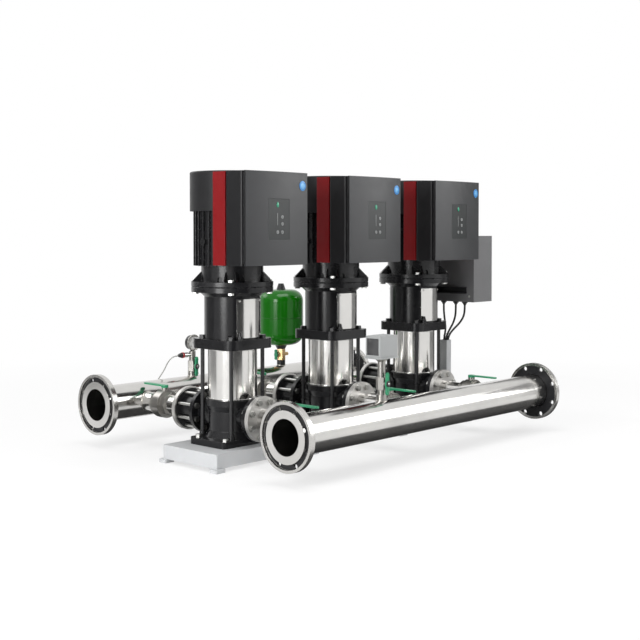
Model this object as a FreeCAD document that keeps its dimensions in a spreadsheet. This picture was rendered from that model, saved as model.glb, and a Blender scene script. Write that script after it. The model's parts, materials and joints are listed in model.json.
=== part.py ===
# A booster pump set for the water supply of a building: three vertical multistage pumps in a row on a
# steel base tray, a suction manifold in front of them and a discharge manifold behind them.
# X runs along the manifolds, -Y is the suction side, +Z is up, and the floor is Z = 0.
import FreeCAD, Part
import math
import os
import re
import Sketcher

# Driving dimensions in millimetres, counts and degrees
SIZES = {
    # layout of the row
    "pump_pitch": 650,
    "port_height": 200,
    "port_reach": 182.5,
    "valve_reach": 170,
    "manifold_reach": 372.5,
    "manifold_near": 900,
    "manifold_far": 925,
    "near_gap": 0.3,
    # base tray with its rails and feet
    "tray_length": 1808,
    "tray_width": 352,
    "tray_sheet": 4,
    "tray_top": 78,
    "tray_corner": 6,
    "tray_relief": 3.5,
    "foot_height": 16,
    "foot_length": 54,
    "foot_width": 46,
    "foot_overhang": 14,
    "anchor_radius": 7,
    "anchor_inset": 18,
    "rail_spacing": 200,
    "rail_width": 44,
    "rail_sheet": 4,
    "tie_width": 60,
    # pump base casting
    "base_length": 318,
    "base_width": 232,
    "base_plate": 30,
    "base_corner": 26,
    "base_bolt_x": 124,
    "base_bolt_y": 88,
    "base_bolt_hole": 7,
    "stay_boss_radius": 16,
    "stay_boss": 22,
    "bowl_radius": 106,
    "bowl_top": 275,
    "bowl_rim_radius": 118,
    "bowl_rim": 26,
    "port_neck_radius": 62,
    "port_bore_radius": 40,
    "port_bore_end": 44,
    "eye_radius": 34,
    "annulus_inner": 74,
    "annulus_outer": 97,
    "port_flange_radius": 100,
    "port_flange": 20,
    "port_hole_radius": 9,
    "port_circle_radius": 80,
    "port_holes": 8,
    # chamber stack
    "sleeve_radius": 110,
    "sleeve_wall": 3,
    "head_bottom": 500,
    "head_top": 543,
    "head_width": 272,
    "head_corner": 48,
    "head_bore": 34,
    "stay_spacing": 188,
    "stay_radius": 9,
    "stay_nut": 15,
    "stay_nut_height": 14,
    "stages": 4,
    "stage_height": 54,
    "stage_radius": 98,
    "stage_wall": 3,
    "stage_eye": 40,
    "impeller_radius": 84,
    "impeller_width": 16,
    "impeller_hub": 24,
    "impeller_lift": 8,
    "seal_radius": 33.5,
    "seal_height": 36,
    "plug_radius": 10,
    "plug_height": 34,
    "plug_x": 68,
    "plug_y": 122,
    # motor stool and coupling
    "stool_top": 773,
    "stool_radius": 125,
    "stool_wall": 14,
    "window_width": 126,
    "window_bottom": 574,
    "window_top": 708,
    "guard_sheet": 1.5,
    "guard_angle": 68,
    "guard_bottom": 550,
    "guard_top": 720,
    "motor_flange_radius": 182,
    "stool_flange": 24,
    "flange_chamfer": 2.5,
    "stool_taper": 20,
    "coupling_radius": 40,
    "coupling_bottom": 596,
    "coupling_top": 716,
    "pump_shaft_radius": 11,
    "pump_shaft_bottom": 215,
    "motor_shaft_radius": 21,
    "shaft_joint": 656,
    "shaft_gap": 0.05,
    # motor
    "motor_flange": 22,
    "motor_bolt_circle": 163,
    "motor_bolt_radius": 8,
    "motor_bolt_hole": 9,
    "bolt_head_radius": 14,
    "bolt_head_height": 10,
    "neck_radius": 138,
    "neck_recess": 9,
    "neck_window": 52,
    "neck_arch": 11,
    "neck_arch_angle": 24,
    "frame_bottom": 865,
    "frame_radius": 162,
    "frame_top": 1104,
    "fin_height": 10,
    "fin_width": 5,
    "fins": 32,
    "stator_radius": 118,
    "rotor_radius": 84,
    "rotor_gap": 1,
    "stator_bottom": 890,
    "stator_top": 1070,
    "bearing_radius": 42,
    "bearing_height": 20,
    "shield": 12,
    "gusset": 7,
    "gusset_height": 48,
    "gusset_angle": 9,
    "frame_boss_radius": 15,
    "frame_boss_height": 970,
    "fan_cover_radius": 187,
    "fan_cover_sheet": 2.5,
    "fan_cover_height": 173,
    "fan_cover_edge": 7,
    "fan_cover_lug": 18,
    "lug_gap": 0.6,
    "fan_slots": 24,
    "fan_slot_width": 9,
    "fan_slot_inner": 50,
    "fan_slot_outer": 165,
    "fan_radius": 150,
    "fan_hub_radius": 34,
    "fan_bottom": 1128,
    "fan_height": 56,
    "fan_blades": 7,
    "fan_blade": 4,
    "shaft_top": 1190,
    # frequency converter on the side of the motor
    "drive_width": 372,
    "drive_bottom": 870,
    "drive_top": 1270,
    "drive_corner": 12,
    "trim_back": 80,
    "drive_back": 157,
    "drive_front": 262,
    "cover_back": 270,
    "cover_front": 295,
    "cover_bow": 1500,
    "cover_corner": 6,
    "recess": 9,
    "saddle_gap": 0.5,
    "panel_width": 124,
    "panel_bottom": 979,
    "panel_top": 1153,
    "panel_depth": 8,
    "panel_gap": 0.3,
    # isolating valves and non-return valves
    "stub_radius": 44.45,
    "valve_radius": 66,
    "valve_length": 46,
    "valve_end_radius": 56,
    "valve_end": 30,
    "valve_neck_radius": 17,
    "valve_neck_top": 76,
    "stem_radius": 8,
    "stem_gap": 0.05,
    "disc_radius": 39.3,
    "disc": 8,
    "lever_length": 158,
    "lever_width": 24,
    "lever_height": 7,
    "lever_hub_radius": 17,
    "lever_lift": 5,
    "check_length": 100,
    "check_radius": 70,
    "check_chamber_radius": 52,
    "check_seat": 14,
    "check_seat_radius": 38,
    "flap_radius": 44,
    "flap": 5,
    "flap_pin_radius": 4,
    # manifolds
    "pipe_radius": 84.15,
    "pipe_bore": 80.5,
    "collar_radius": 108,
    "collar": 12,
    "collar_bore": 75,
    "loose_flange_radius": 142.5,
    "loose_flange": 24,
    "loose_flange_rim": 12,
    "loose_flange_gap": 1.5,
    "loose_hole_radius": 11,
    "loose_circle_radius": 120,
    "loose_holes": 8,
    # diaphragm tank on the discharge manifold
    "tank_x": 334,
    "tank_radius": 122,
    "tank_bottom": 396,
    "tank_top": 698,
    "tank_dome": 62,
    "tank_sheet": 2,
    "tank_cap_radius": 26,
    "tank_cap": 34,
    "tank_neck_radius": 22,
    "tank_valve_radius": 24,
    "tank_valve_bottom": 312,
    "tank_valve_top": 372,
    "tank_lever": 52,
    # fittings on the two manifolds
    "riser_x": -305,
    "riser_radius": 17,
    "socket_radius": 23,
    "socket_height": 26,
    "suction_riser_top": 452,
    "discharge_riser_top": 408,
    "cock_radius": 21,
    "suction_cock_height": 358,
    "discharge_cock_height": 333,
    "handle_length": 94,
    "handle_width": 15,
    "handle_reach": 36,
    "switch_length": 120,
    "switch_width": 84,
    "switch_bottom": 468,
    "switch_top": 566,
    "switch_lip": 5,
    "switch_corner": 6,
    "switch_window": 3,
    "gauge_radius": 40,
    "gauge_depth": 30,
    "gauge_height": 452,
    "pointer_length": 26,
    "sender_height": 392,
    "sender_length": 92,
    "sender_radius": 13,
    # control cabinet on its stand at the far end
    "cabinet_back": 941,
    "cabinet_depth": 150,
    "cabinet_width": 360,
    "cabinet_bottom": 635,
    "cabinet_top": 992,
    "cabinet_sheet": 3,
    "door": 18,
    "door_gap": 0.5,
    "hinge_radius": 6,
    "hinge_length": 46,
    "post_width": 50,
    "arm_depth": 36,
    "post_x": 872,
    "post_y": 88,
    "duct_x": 881,
    "duct_y": -38,
    "duct_length": 40,
    "duct_width": 44,
    "duct_top": 430,
    "duct_sheet": 2.5,
    "gland_x": 1000,
    "gland_radius": 12,
    "gland_length": 20,
    "cable_radius": 5.5,
    "sensor_cable_radius": 3,
}
WORD = re.compile(r"[a-z][a-z_]*(?!\w|\()")
UPRIGHT = FreeCAD.Rotation()
ALONG_X = FreeCAD.Rotation(FreeCAD.Vector(0, 1, 0), 90)
ALONG_Y = FreeCAD.Rotation(FreeCAD.Vector(1, 0, 0), -90)
AGAINST_X = FreeCAD.Rotation(FreeCAD.Vector(0, 1, 0), -90)
AGAINST_Y = FreeCAD.Rotation(FreeCAD.Vector(1, 0, 0), 90)

doc = FreeCAD.newDocument("booster_pump_set")
sheet = doc.addObject("Spreadsheet::Sheet", "sizes")
for row, (alias, value) in enumerate(SIZES.items(), 1):
    sheet.set("A%d" % row, alias)
    sheet.set("B%d" % row, str(value))
    sheet.setAlias("B%d" % row, alias)
doc.recompute()
nodes = {}


def bound(text):
    """an expression over the sheet, written with bare aliases"""
    return WORD.sub(r"sizes.\g<0>", text)


def number(alias):
    return float(sheet.get(alias))


def turn_about_z(degrees):
    return FreeCAD.Rotation(FreeCAD.Vector(0, 0, 1), degrees)


# Placing, copying and joining

def place(made, x="0", y="0", z="0", turn=UPRIGHT):
    made.Placement = FreeCAD.Placement(FreeCAD.Vector(), turn)
    for axis, text in zip("xyz", (x, y, z)):
        if text != "0":
            made.setExpression("Placement.Base." + axis, bound(text))
    return made


def copy_of(source, x="0", y="0", z="0", turn=UPRIGHT):
    link = doc.addObject("App::Link", source.Name + "_copy")
    link.LinkedObject = source
    link.LinkTransform = False
    return place(link, x, y, z, turn)


def compound(pieces):
    made = doc.addObject("Part::Compound", "group")
    made.Links = pieces
    return made


def fuse(pieces):
    made = doc.addObject("Part::MultiFuse", "joined")
    made.Shapes = pieces
    return made


def cut(base, tools):
    made = doc.addObject("Part::Cut", "cut")
    made.Base = base
    made.Tool = tools[0] if len(tools) == 1 else compound(tools)
    return made


def common(first, second):
    made = doc.addObject("Part::Common", "common")
    made.Base = first
    made.Tool = second
    return made


def keep(label, pieces):
    """a named sub-part made of one or more pieces"""
    made = compound(pieces)
    made.Label = label
    nodes[label] = made
    return made


PUMPS = {1: "-pump_pitch", 2: "0", 3: "pump_pitch"}


def at_each_pump(source, x="0", y="0", z="0", turn=UPRIGHT):
    return [copy_of(source, "%s + %s" % (middle, x), y, z, turn) for middle in PUMPS.values()]


# Primitive solids

def cylinder(radius, length, x="0", y="0", z="0", turn=UPRIGHT):
    made = doc.addObject("Part::Cylinder", "cylinder")
    made.setExpression("Radius", bound(radius))
    made.setExpression("Height", bound(length))
    return place(made, x, y, z, turn)


def cone(radius, top_radius, length, x="0", y="0", z="0", turn=UPRIGHT):
    made = doc.addObject("Part::Cone", "cone")
    made.setExpression("Radius1", bound(radius))
    made.setExpression("Radius2", bound(top_radius))
    made.setExpression("Height", bound(length))
    return place(made, x, y, z, turn)


def prism(sides, radius, length, x="0", y="0", z="0", turn=UPRIGHT):
    made = doc.addObject("Part::Prism", "prism")
    made.Polygon = sides
    made.setExpression("Circumradius", bound(radius))
    made.setExpression("Height", bound(length))
    return place(made, x, y, z, turn)


def box(low, high):
    """a box between two corners, each given as three expressions"""
    made = doc.addObject("Part::Box", "box")
    for name, start, end in zip(("Length", "Width", "Height"), low, high):
        made.setExpression(name, bound("(%s) - (%s)" % (end, start)))
    return place(made, *low)


# Bodies made from sketches

def new_body(name):
    return doc.addObject("PartDesign::Body", name)


def sketch_on(body, role, height="0"):
    drawn = body.newObject("Sketcher::SketchObject", body.Name + "_sketch")
    support = [feature for feature in body.Origin.OriginFeatures if feature.Role == role][0]
    drawn.AttachmentSupport = (support, [""])
    drawn.MapMode = "FlatFace"
    if height != "0":
        drawn.setExpression("AttachmentOffset.Base.z", bound(height))
    return drawn


def pin_point(drawn, geometry, end, x, y):
    for kind, text in (("DistanceX", x), ("DistanceY", y)):
        index = drawn.addConstraint(Sketcher.Constraint(kind, -1, 1, geometry, end, 1.0))
        drawn.setExpression("Constraints[%d]" % index, bound(text))


def draw_outline(drawn, corners):
    """a closed outline whose corners are pinned to expressions"""
    count = len(corners)
    first = drawn.GeometryCount
    start = [FreeCAD.Vector(math.cos(math.tau * i / count), math.sin(math.tau * i / count), 0) * 100
             for i in range(count)]
    for i in range(count):
        drawn.addGeometry(Part.LineSegment(start[i], start[(i + 1) % count]), False)
    for i in range(count):
        drawn.addConstraint(Sketcher.Constraint("Coincident", first + i, 2, first + (i + 1) % count, 1))
    for i, (x, y) in enumerate(corners):
        pin_point(drawn, first + i, 1, x, y)


def draw_circle(drawn, radius, x="0", y="0"):
    index = drawn.addGeometry(Part.Circle(FreeCAD.Vector(), FreeCAD.Vector(0, 0, 1), 5), False)
    size = drawn.addConstraint(Sketcher.Constraint("Radius", index, 5))
    drawn.setExpression("Constraints[%d]" % size, bound(radius))
    pin_point(drawn, index, 3, x, y)


def rectangle(half_x, half_y):
    return [("-(%s)" % half_x, "-(%s)" % half_y), (half_x, "-(%s)" % half_y), (half_x, half_y),
            ("-(%s)" % half_x, half_y)]


def turned(name, corners, angle=None):
    """a body turned about Z from an outline of (radius, height) corners"""
    body = new_body(name)
    drawn = sketch_on(body, "XZ_Plane")
    draw_outline(drawn, corners)
    feature = body.newObject("PartDesign::Revolution", name + "_turned")
    feature.Profile = drawn
    feature.ReferenceAxis = (drawn, ["V_Axis"])
    if angle is None:
        feature.Angle = 360
    else:
        feature.Midplane = True
        feature.setExpression("Angle", bound(angle))
    return body


def ring(name, outer, inner, length):
    return turned(name, [(inner, "0"), (outer, "0"), (outer, length), (inner, length)])


def pad(body, drawn, length, midplane=False):
    feature = body.newObject("PartDesign::Pad", body.Name + "_pad")
    feature.Profile = drawn
    feature.setExpression("Length", bound(length))
    feature.Midplane = midplane
    return feature


def pocket_through(body, drawn):
    feature = body.newObject("PartDesign::Pocket", body.Name + "_pocket")
    feature.Profile = drawn
    feature.Type = "ThroughAll"
    feature.Midplane = True
    return feature


def repeat_round(body, drawn, feature, count):
    pattern = body.newObject("PartDesign::PolarPattern", body.Name + "_pattern")
    pattern.Originals = [feature]
    pattern.Axis = (drawn, ["N_Axis"])
    pattern.Angle = 360
    pattern.setExpression("Occurrences", bound(count))
    body.Tip = pattern
    return pattern


def drill_circle(body, hole_radius, circle_radius, count):
    """holes on a circle, the first half a step from the X axis"""
    drawn = sketch_on(body, "XY_Plane")
    draw_circle(drawn, hole_radius, "%s * cos(180 / %s)" % (circle_radius, count),
                "%s * sin(180 / %s)" % (circle_radius, count))
    repeat_round(body, drawn, pocket_through(body, drawn), count)


def round_upright_edges(body, feature, radius):
    doc.recompute()
    names = []
    for index, edge in enumerate(feature.Shape.Edges, 1):
        if edge.Curve.TypeId == "Part::GeomLine" and abs(edge.tangentAt(edge.FirstParameter).z) > 0.999:
            names.append("Edge%d" % index)
    rounded = body.newObject("PartDesign::Fillet", body.Name + "_fillet")
    rounded.Base = (feature, names)
    rounded.setExpression("Radius", bound(radius))
    body.Tip = rounded
    return rounded


def round_rims(body, radius, heights):
    """fillets the circular edges of a turned body that lie at the given heights"""
    doc.recompute()
    feature = body.Tip
    names = []
    for index, edge in enumerate(feature.Shape.Edges, 1):
        flat = edge.Curve.TypeId == "Part::GeomCircle" and abs(edge.Curve.Axis.z) > 0.999
        if flat and any(abs(edge.Curve.Center.z - height) < 0.01 for height in heights):
            names.append("Edge%d" % index)
    rounded = body.newObject("PartDesign::Fillet", body.Name + "_rims")
    rounded.Base = (feature, names)
    rounded.setExpression("Radius", bound(radius))
    body.Tip = rounded
    return rounded


def plate(name, half_x, half_y, thickness, corner):
    """a flat plate on Z = 0 with rounded upright edges"""
    body = new_body(name)
    drawn = sketch_on(body, "XY_Plane")
    draw_outline(drawn, rectangle(half_x, half_y))
    round_upright_edges(body, pad(body, drawn, thickness), corner)
    return body


# Base tray, rails and feet
RAIL_TOP = "tray_top - tray_sheet"


def base_tray():
    shell = plate("tray_shell", "tray_length / 2", "tray_width / 2", "tray_top - foot_height", "tray_corner")
    hollow = box(("tray_sheet - tray_length / 2", "tray_sheet - tray_width / 2", "foot_height - 1"),
                 ("tray_length / 2 - tray_sheet", "tray_width / 2 - tray_sheet", RAIL_TOP))
    holes = []
    for side_x in ("-", "+"):
        for side_y in ("-", "+"):
            relief_x = "%s(tray_length / 2 - tray_sheet / 2)" % side_x
            relief_y = "%s(tray_width / 2 - tray_sheet / 2)" % side_y
            holes.append(cylinder("tray_relief", "2 * tray_sheet", relief_x, relief_y,
                                  "tray_top - tray_sheet"))
            for middle in PUMPS.values():
                holes.append(cylinder("base_bolt_hole", "tray_top", "%s %s base_bolt_x" % (middle, side_x),
                                      "%sbase_bolt_y" % side_y))
    keep("base_tray", [cut(copy_of(shell, z="foot_height"), [hollow] + holes)])


def channel(low, high):
    """a channel along X, open downwards"""
    inner_low = (low[0] + " - 1", low[1] + " + rail_sheet", low[2] + " - 1")
    inner_high = (high[0] + " + 1", high[1] + " - rail_sheet", high[2] + " - rail_sheet")
    return cut(box(low, high), [box(inner_low, inner_high)])


def base_rails():
    pieces = []
    ends = "tray_length / 2 - tray_sheet"
    for side in ("-", "+"):
        middle = "%srail_spacing / 2" % side
        rail = channel(("-(%s)" % ends, middle + " - rail_width / 2", "foot_height"),
                       (ends, middle + " + rail_width / 2", RAIL_TOP))
        bolts = [cylinder("base_bolt_hole", "tray_top", "%s %s base_bolt_x" % (at, sign),
                          "%sbase_bolt_y" % side)
                 for at in PUMPS.values() for sign in ("-", "+")]
        pieces.append(cut(rail, bolts))
    for at in list(PUMPS.values()) + ["-tray_length / 2 + tie_width", "tray_length / 2 - tie_width"]:
        pieces.append(box((at + " - tie_width / 2", "-(rail_spacing - rail_width) / 2", "foot_height"),
                          (at + " + tie_width / 2", "(rail_spacing - rail_width) / 2",
                           "foot_height + rail_sheet")))
    return pieces


def base_feet():
    pieces = []
    for sign_x in ("-", "+"):
        for sign_y in ("-", "+"):
            middle_x = "%s(tray_length / 2 + foot_overhang - foot_length / 2)" % sign_x
            middle_y = "%s(tray_width / 2 + foot_overhang - foot_width / 2)" % sign_y
            block = plate("foot_block", "foot_length / 2", "foot_width / 2", "foot_height", "tray_corner")
            hole = cylinder("anchor_radius", "foot_height * 3", "%s(tray_length / 2 - anchor_inset)" % sign_x,
                            "%s(tray_width / 2 - anchor_inset)" % sign_y, "-foot_height")
            pieces.append(cut(copy_of(block, middle_x, middle_y), [hole]))
    for at in ("-pump_pitch / 2", "pump_pitch / 2"):
        for sign in ("-", "+"):
            pieces.append(box((at + " - foot_length / 2", "%stray_width / 2 - foot_width / 2" % sign, "0"),
                              (at + " + foot_length / 2", "%stray_width / 2 + foot_width / 2" % sign,
                               "foot_height")))
    return pieces


# Pump casings

def pump_bases():
    foot = new_body("base_foot")
    drawn = sketch_on(foot, "XY_Plane", "tray_top")
    draw_outline(drawn, rectangle("base_length / 2", "base_width / 2"))
    round_upright_edges(foot, pad(foot, drawn, "base_plate"), "base_corner")
    holes = sketch_on(foot, "XY_Plane")
    for sign_x in ("-", ""):
        for sign_y in ("-", ""):
            draw_circle(holes, "base_bolt_hole", sign_x + "base_bolt_x", sign_y + "base_bolt_y")
    foot.Tip = pocket_through(foot, holes)
    bowl = turned("base_bowl", [
        ("0", "tray_top"), ("bowl_radius + base_corner", "tray_top + base_plate / 2"),
        ("bowl_radius", "tray_top + 2 * base_plate"), ("bowl_radius", "bowl_top - 2 * bowl_rim"),
        ("bowl_rim_radius", "bowl_top - bowl_rim"), ("bowl_rim_radius", "bowl_top"), ("0", "bowl_top")])
    ports = turned("base_ports", [
        ("0", "-port_reach"), ("port_flange_radius", "-port_reach"),
        ("port_flange_radius", "port_flange - port_reach"), ("port_neck_radius", "port_flange - port_reach"),
        ("port_neck_radius", "port_reach - port_flange"), ("port_flange_radius", "port_reach - port_flange"),
        ("port_flange_radius", "port_reach"), ("0", "port_reach")])
    drill_circle(ports, "port_hole_radius", "port_circle_radius", "port_holes")
    round_rims(bowl, "bowl_rim / 4", (number("bowl_top") - number("bowl_rim"),))
    bosses = []
    for sign_x in ("-", ""):
        for sign_y in ("-", ""):
            bosses.append(cone("stay_boss_radius", "stay_boss_radius - 2", "stay_boss",
                               sign_x + "stay_spacing / 2",
                               sign_y + "stay_spacing / 2", "tray_top + base_plate - 1"))
    casting = fuse([foot, bowl, copy_of(ports, z="port_height", turn=ALONG_Y)] + bosses)
    annulus = cut(cylinder("annulus_outer", "bowl_top", z="port_height"),
                  [cylinder("annulus_inner", "bowl_top * 2")])
    bore = "port_reach - port_bore_end"
    source = cut(casting, [
        cylinder("port_bore_radius", bore, y="-port_reach", z="port_height", turn=ALONG_Y),
        cylinder("port_bore_radius", bore, y="port_reach", z="port_height", turn=AGAINST_Y),
        cylinder("eye_radius", "bowl_top", z="port_height"), annulus])
    for k, middle in PUMPS.items():
        keep("pump_base_%d" % k, [copy_of(source, middle)])


def chamber_stack():
    sleeve = ring("sleeve", "sleeve_radius", "sleeve_radius - sleeve_wall", "head_bottom - bowl_top")
    keep("pump_sleeves", at_each_pump(sleeve, z="bowl_top"))
    cup = turned("stage_cup", [
        ("stage_eye", "0"), ("stage_radius", "0"), ("stage_radius", "stage_height"),
        ("stage_radius - stage_wall", "stage_height"), ("stage_radius - stage_wall", "stage_wall"),
        ("stage_eye", "stage_wall")])
    cups = []
    for middle in PUMPS.values():
        for level in range(int(number("stages"))):
            cups.append(copy_of(cup, middle, z="bowl_top + %d * stage_height" % level))
    seal = ring("seal", "seal_radius", "pump_shaft_radius + shaft_gap", "seal_height")
    keep("stage_chambers_and_seals", cups + at_each_pump(seal, z="head_top - seal_height"))


def pump_heads():
    square = plate("head_plate", "head_width / 2", "head_width / 2", "head_top - head_bottom", "head_corner")
    holes = [cylinder("head_bore", "head_width")]
    for sign_x in ("-", ""):
        for sign_y in ("-", ""):
            holes.append(cylinder("stay_radius + shaft_gap", "head_width", sign_x + "stay_spacing / 2",
                                  sign_y + "stay_spacing / 2"))
    head = cut(square, holes)
    pad_ring = cylinder("plug_radius * 1.25", "plug_height / 6")
    plug_base = prism(6, "plug_radius * 1.15", "plug_height / 2")
    plug = fuse([pad_ring, plug_base, cone("plug_radius", "plug_radius * 0.6", "plug_height / 2",
                                           z="plug_height / 2")])
    vents = at_each_pump(plug, "-plug_x", "-plug_y", "head_top")
    keep("pump_heads", at_each_pump(head, z="head_bottom") + vents)


def stay_bolts():
    foot_end = "tray_top + base_plate - 1 + stay_boss"
    rod = cylinder("stay_radius", "head_top + stay_nut_height - (%s)" % foot_end, z=foot_end)
    nut = prism(6, "stay_nut", "stay_nut_height", z="head_top")
    bolt = fuse([rod, nut])
    pieces = []
    for middle in PUMPS.values():
        for sign_x in ("-", "+"):
            for sign_y in ("-", "+"):
                pieces.append(copy_of(bolt, "%s %s stay_spacing / 2" % (middle, sign_x),
                                      sign_y + "stay_spacing / 2"))
    keep("stay_bolts", pieces)


def motor_stools():
    stool = turned("stool", [
        ("stool_radius - stool_wall", "head_top"), ("stool_radius", "head_top"),
        ("stool_radius", "stool_top - stool_flange - stool_taper"),
        ("motor_bolt_circle - bolt_head_radius - 2", "stool_top - stool_flange"),
        ("motor_flange_radius", "stool_top - stool_flange"),
        ("motor_flange_radius", "stool_top - flange_chamfer"),
        ("motor_flange_radius - flange_chamfer", "stool_top"),
        ("stool_radius - stool_wall", "stool_top")])
    window = sketch_on(stool, "XZ_Plane")
    draw_outline(window, [("-window_width / 2", "window_bottom"), ("window_width / 2", "window_bottom"),
                          ("window_width / 2", "window_top"), ("-window_width / 2", "window_top")])
    stool.Tip = pocket_through(stool, window)
    drill_circle(stool, "motor_bolt_hole", "motor_bolt_circle", "4")
    reliefs = []
    for sign_x in ("-", ""):
        for sign_y in ("-", ""):
            reliefs.append(cylinder("stay_nut + 2", "stay_nut_height + 3", sign_x + "stay_spacing / 2",
                                    sign_y + "stay_spacing / 2", "head_top"))
    source = cut(stool, reliefs)
    for k, middle in PUMPS.items():
        keep("motor_stool_%d" % k, [copy_of(source, middle)])
    inner = "stool_radius + near_gap"
    outer = "stool_radius + near_gap + guard_sheet"
    guard = turned("guard", [(inner, "guard_bottom"), (outer, "guard_bottom"), (outer, "guard_top"),
                             (inner, "guard_top")], "guard_angle")
    keep("coupling_guards", at_each_pump(guard, turn=turn_about_z(90)) + at_each_pump(guard,
                                                                                      turn=turn_about_z(-90)))


# Turning parts inside pump and motor

def rotors():
    shaft = turned("shaft", [
        ("0", "pump_shaft_bottom"), ("pump_shaft_radius", "pump_shaft_bottom"),
        ("pump_shaft_radius", "shaft_joint"),
        ("motor_shaft_radius", "shaft_joint"), ("motor_shaft_radius", "shaft_top"), ("0", "shaft_top")])
    coupling = turned("coupling", [
        ("pump_shaft_radius", "coupling_bottom"), ("coupling_radius", "coupling_bottom"),
        ("coupling_radius", "coupling_top"), ("motor_shaft_radius", "coupling_top"),
        ("motor_shaft_radius", "shaft_joint"), ("pump_shaft_radius", "shaft_joint")])
    core = ring("rotor_core", "rotor_radius", "motor_shaft_radius", "stator_top - stator_bottom")
    fan_hub = ring("fan_hub", "fan_hub_radius", "motor_shaft_radius", "fan_height")
    blades = []
    for step in range(int(number("fan_blades"))):
        blade = box(("fan_hub_radius - 2", "-fan_blade / 2", "0"),
                    ("fan_radius", "fan_blade / 2", "fan_height"))
        blades.append(copy_of(compound([blade]), turn=turn_about_z(360 / number("fan_blades") * step)))
    fan = fuse([fan_hub] + blades)
    source = compound([shaft, coupling, copy_of(core, z="stator_bottom"), copy_of(fan, z="fan_bottom")])
    impeller = turned("impeller", [
        ("pump_shaft_radius", "0"), ("impeller_hub", "0"), ("impeller_radius", "impeller_width / 2"),
        ("impeller_radius", "impeller_width"), ("impeller_hub + 4", "impeller_width * 1.2"),
        ("impeller_hub + 4", "impeller_width * 1.7"), ("pump_shaft_radius", "impeller_width * 1.7")])
    for k, middle in PUMPS.items():
        wheels = [copy_of(impeller, middle,
                          z="bowl_top + stage_wall + impeller_lift + %d * stage_height" % level)
                  for level in range(int(number("stages")))]
        keep("pump_rotor_%d" % k, [copy_of(source, middle)] + wheels)


# Motors

def motors():
    frame = turned("motor_shell", [
        ("bearing_radius", "stool_top"), ("motor_flange_radius - flange_chamfer", "stool_top"),
        ("motor_flange_radius", "stool_top + flange_chamfer"),
        ("motor_flange_radius", "stool_top + motor_flange"), ("neck_radius", "stool_top + motor_flange"),
        ("neck_radius", "frame_bottom"), ("frame_radius", "frame_bottom"), ("frame_radius", "frame_top"),
        ("stator_radius", "frame_top"), ("stator_radius", "frame_bottom"),
        ("bearing_radius", "stool_top + 2 * motor_flange")])
    drill_circle(frame, "motor_bolt_hole", "motor_bolt_circle", "4")
    fin_sketch = sketch_on(frame, "XY_Plane", "frame_bottom")
    draw_outline(fin_sketch, [("frame_radius - 4", "-fin_width / 2"),
                              ("frame_radius + fin_height", "-fin_width / 2"),
                              ("frame_radius + fin_height", "fin_width / 2"),
                              ("frame_radius - 4", "fin_width / 2")])
    fin = pad(frame, fin_sketch, "frame_top - frame_bottom")
    repeat_round(frame, fin_sketch, fin, "fins")
    gusset = new_body("gusset_rib")
    rib_sketch = sketch_on(gusset, "XZ_Plane")
    draw_outline(rib_sketch, [
        ("neck_radius - 4", "stool_top + motor_flange - 4"),
        ("motor_flange_radius - 4", "stool_top + motor_flange - 4"),
        ("motor_flange_radius - 4", "stool_top + motor_flange + 2"),
        ("neck_radius - 4", "stool_top + motor_flange + gusset_height")])
    pad(gusset, rib_sketch, "gusset", midplane=True)
    lug = compound([box(("frame_radius - 6", "-fan_cover_lug / 2", "frame_top"),
                        ("fan_cover_radius - fan_cover_sheet - lug_gap", "fan_cover_lug / 2",
                         "frame_top + fan_cover_lug"))])
    ribs = []
    for degrees in (45, 135, 225, 315):
        ribs.append(copy_of(gusset, turn=turn_about_z(degrees - number("gusset_angle"))))
        ribs.append(copy_of(gusset, turn=turn_about_z(degrees + number("gusset_angle"))))
        ribs.append(copy_of(lug, turn=turn_about_z(degrees)))
    rim = ring("frame_rim", "frame_radius", "stator_radius", "fan_cover_lug")
    boss = cylinder("frame_boss_radius", "fin_height + 8", "-frame_radius + 4", "0", "frame_boss_height",
                    AGAINST_X)
    shell = fuse([frame, copy_of(rim, z="frame_top"), boss] + ribs)
    window = box(("neck_radius - neck_recess", "-neck_window / 2", "stool_top + motor_flange + neck_recess"),
                 ("neck_radius * 1.2", "neck_window / 2", "frame_bottom - neck_recess"))
    arch = fuse([box(("neck_radius - neck_recess", "-neck_arch", "stool_top + motor_flange"),
                     ("neck_radius * 1.2", "neck_arch", "stool_top + motor_flange + neck_arch")),
                 cylinder("neck_arch", "neck_radius * 0.2 + neck_recess", "neck_radius - neck_recess", "0",
                          "stool_top + motor_flange + neck_arch", ALONG_X)])
    recesses = []
    for degrees in (0, 90, 180, 270):
        recesses.append(copy_of(window, turn=turn_about_z(degrees)))
        recesses.append(copy_of(arch, turn=turn_about_z(degrees - number("neck_arch_angle"))))
        recesses.append(copy_of(arch, turn=turn_about_z(degrees + number("neck_arch_angle"))))
    source = cut(shell, recesses)
    for k, middle in PUMPS.items():
        keep("motor_frame_%d" % k, [copy_of(source, middle)])
    stator = ring("stator", "stator_radius", "rotor_radius + rotor_gap", "stator_top - stator_bottom")
    bearing = ring("bearing", "bearing_radius", "motor_shaft_radius + shaft_gap", "bearing_height")
    shield = ring("end_shield", "stator_radius", "bearing_radius", "shield")
    keep("stators_and_bearings", at_each_pump(stator, z="stator_bottom") + at_each_pump(bearing,
                                                                                        z="stool_top")
         + at_each_pump(bearing, z="frame_top - bearing_height + shield") + at_each_pump(shield,
                                                                                         z="frame_top"))


FAN_COVER_TOP = "frame_top + fan_cover_height"


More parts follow.
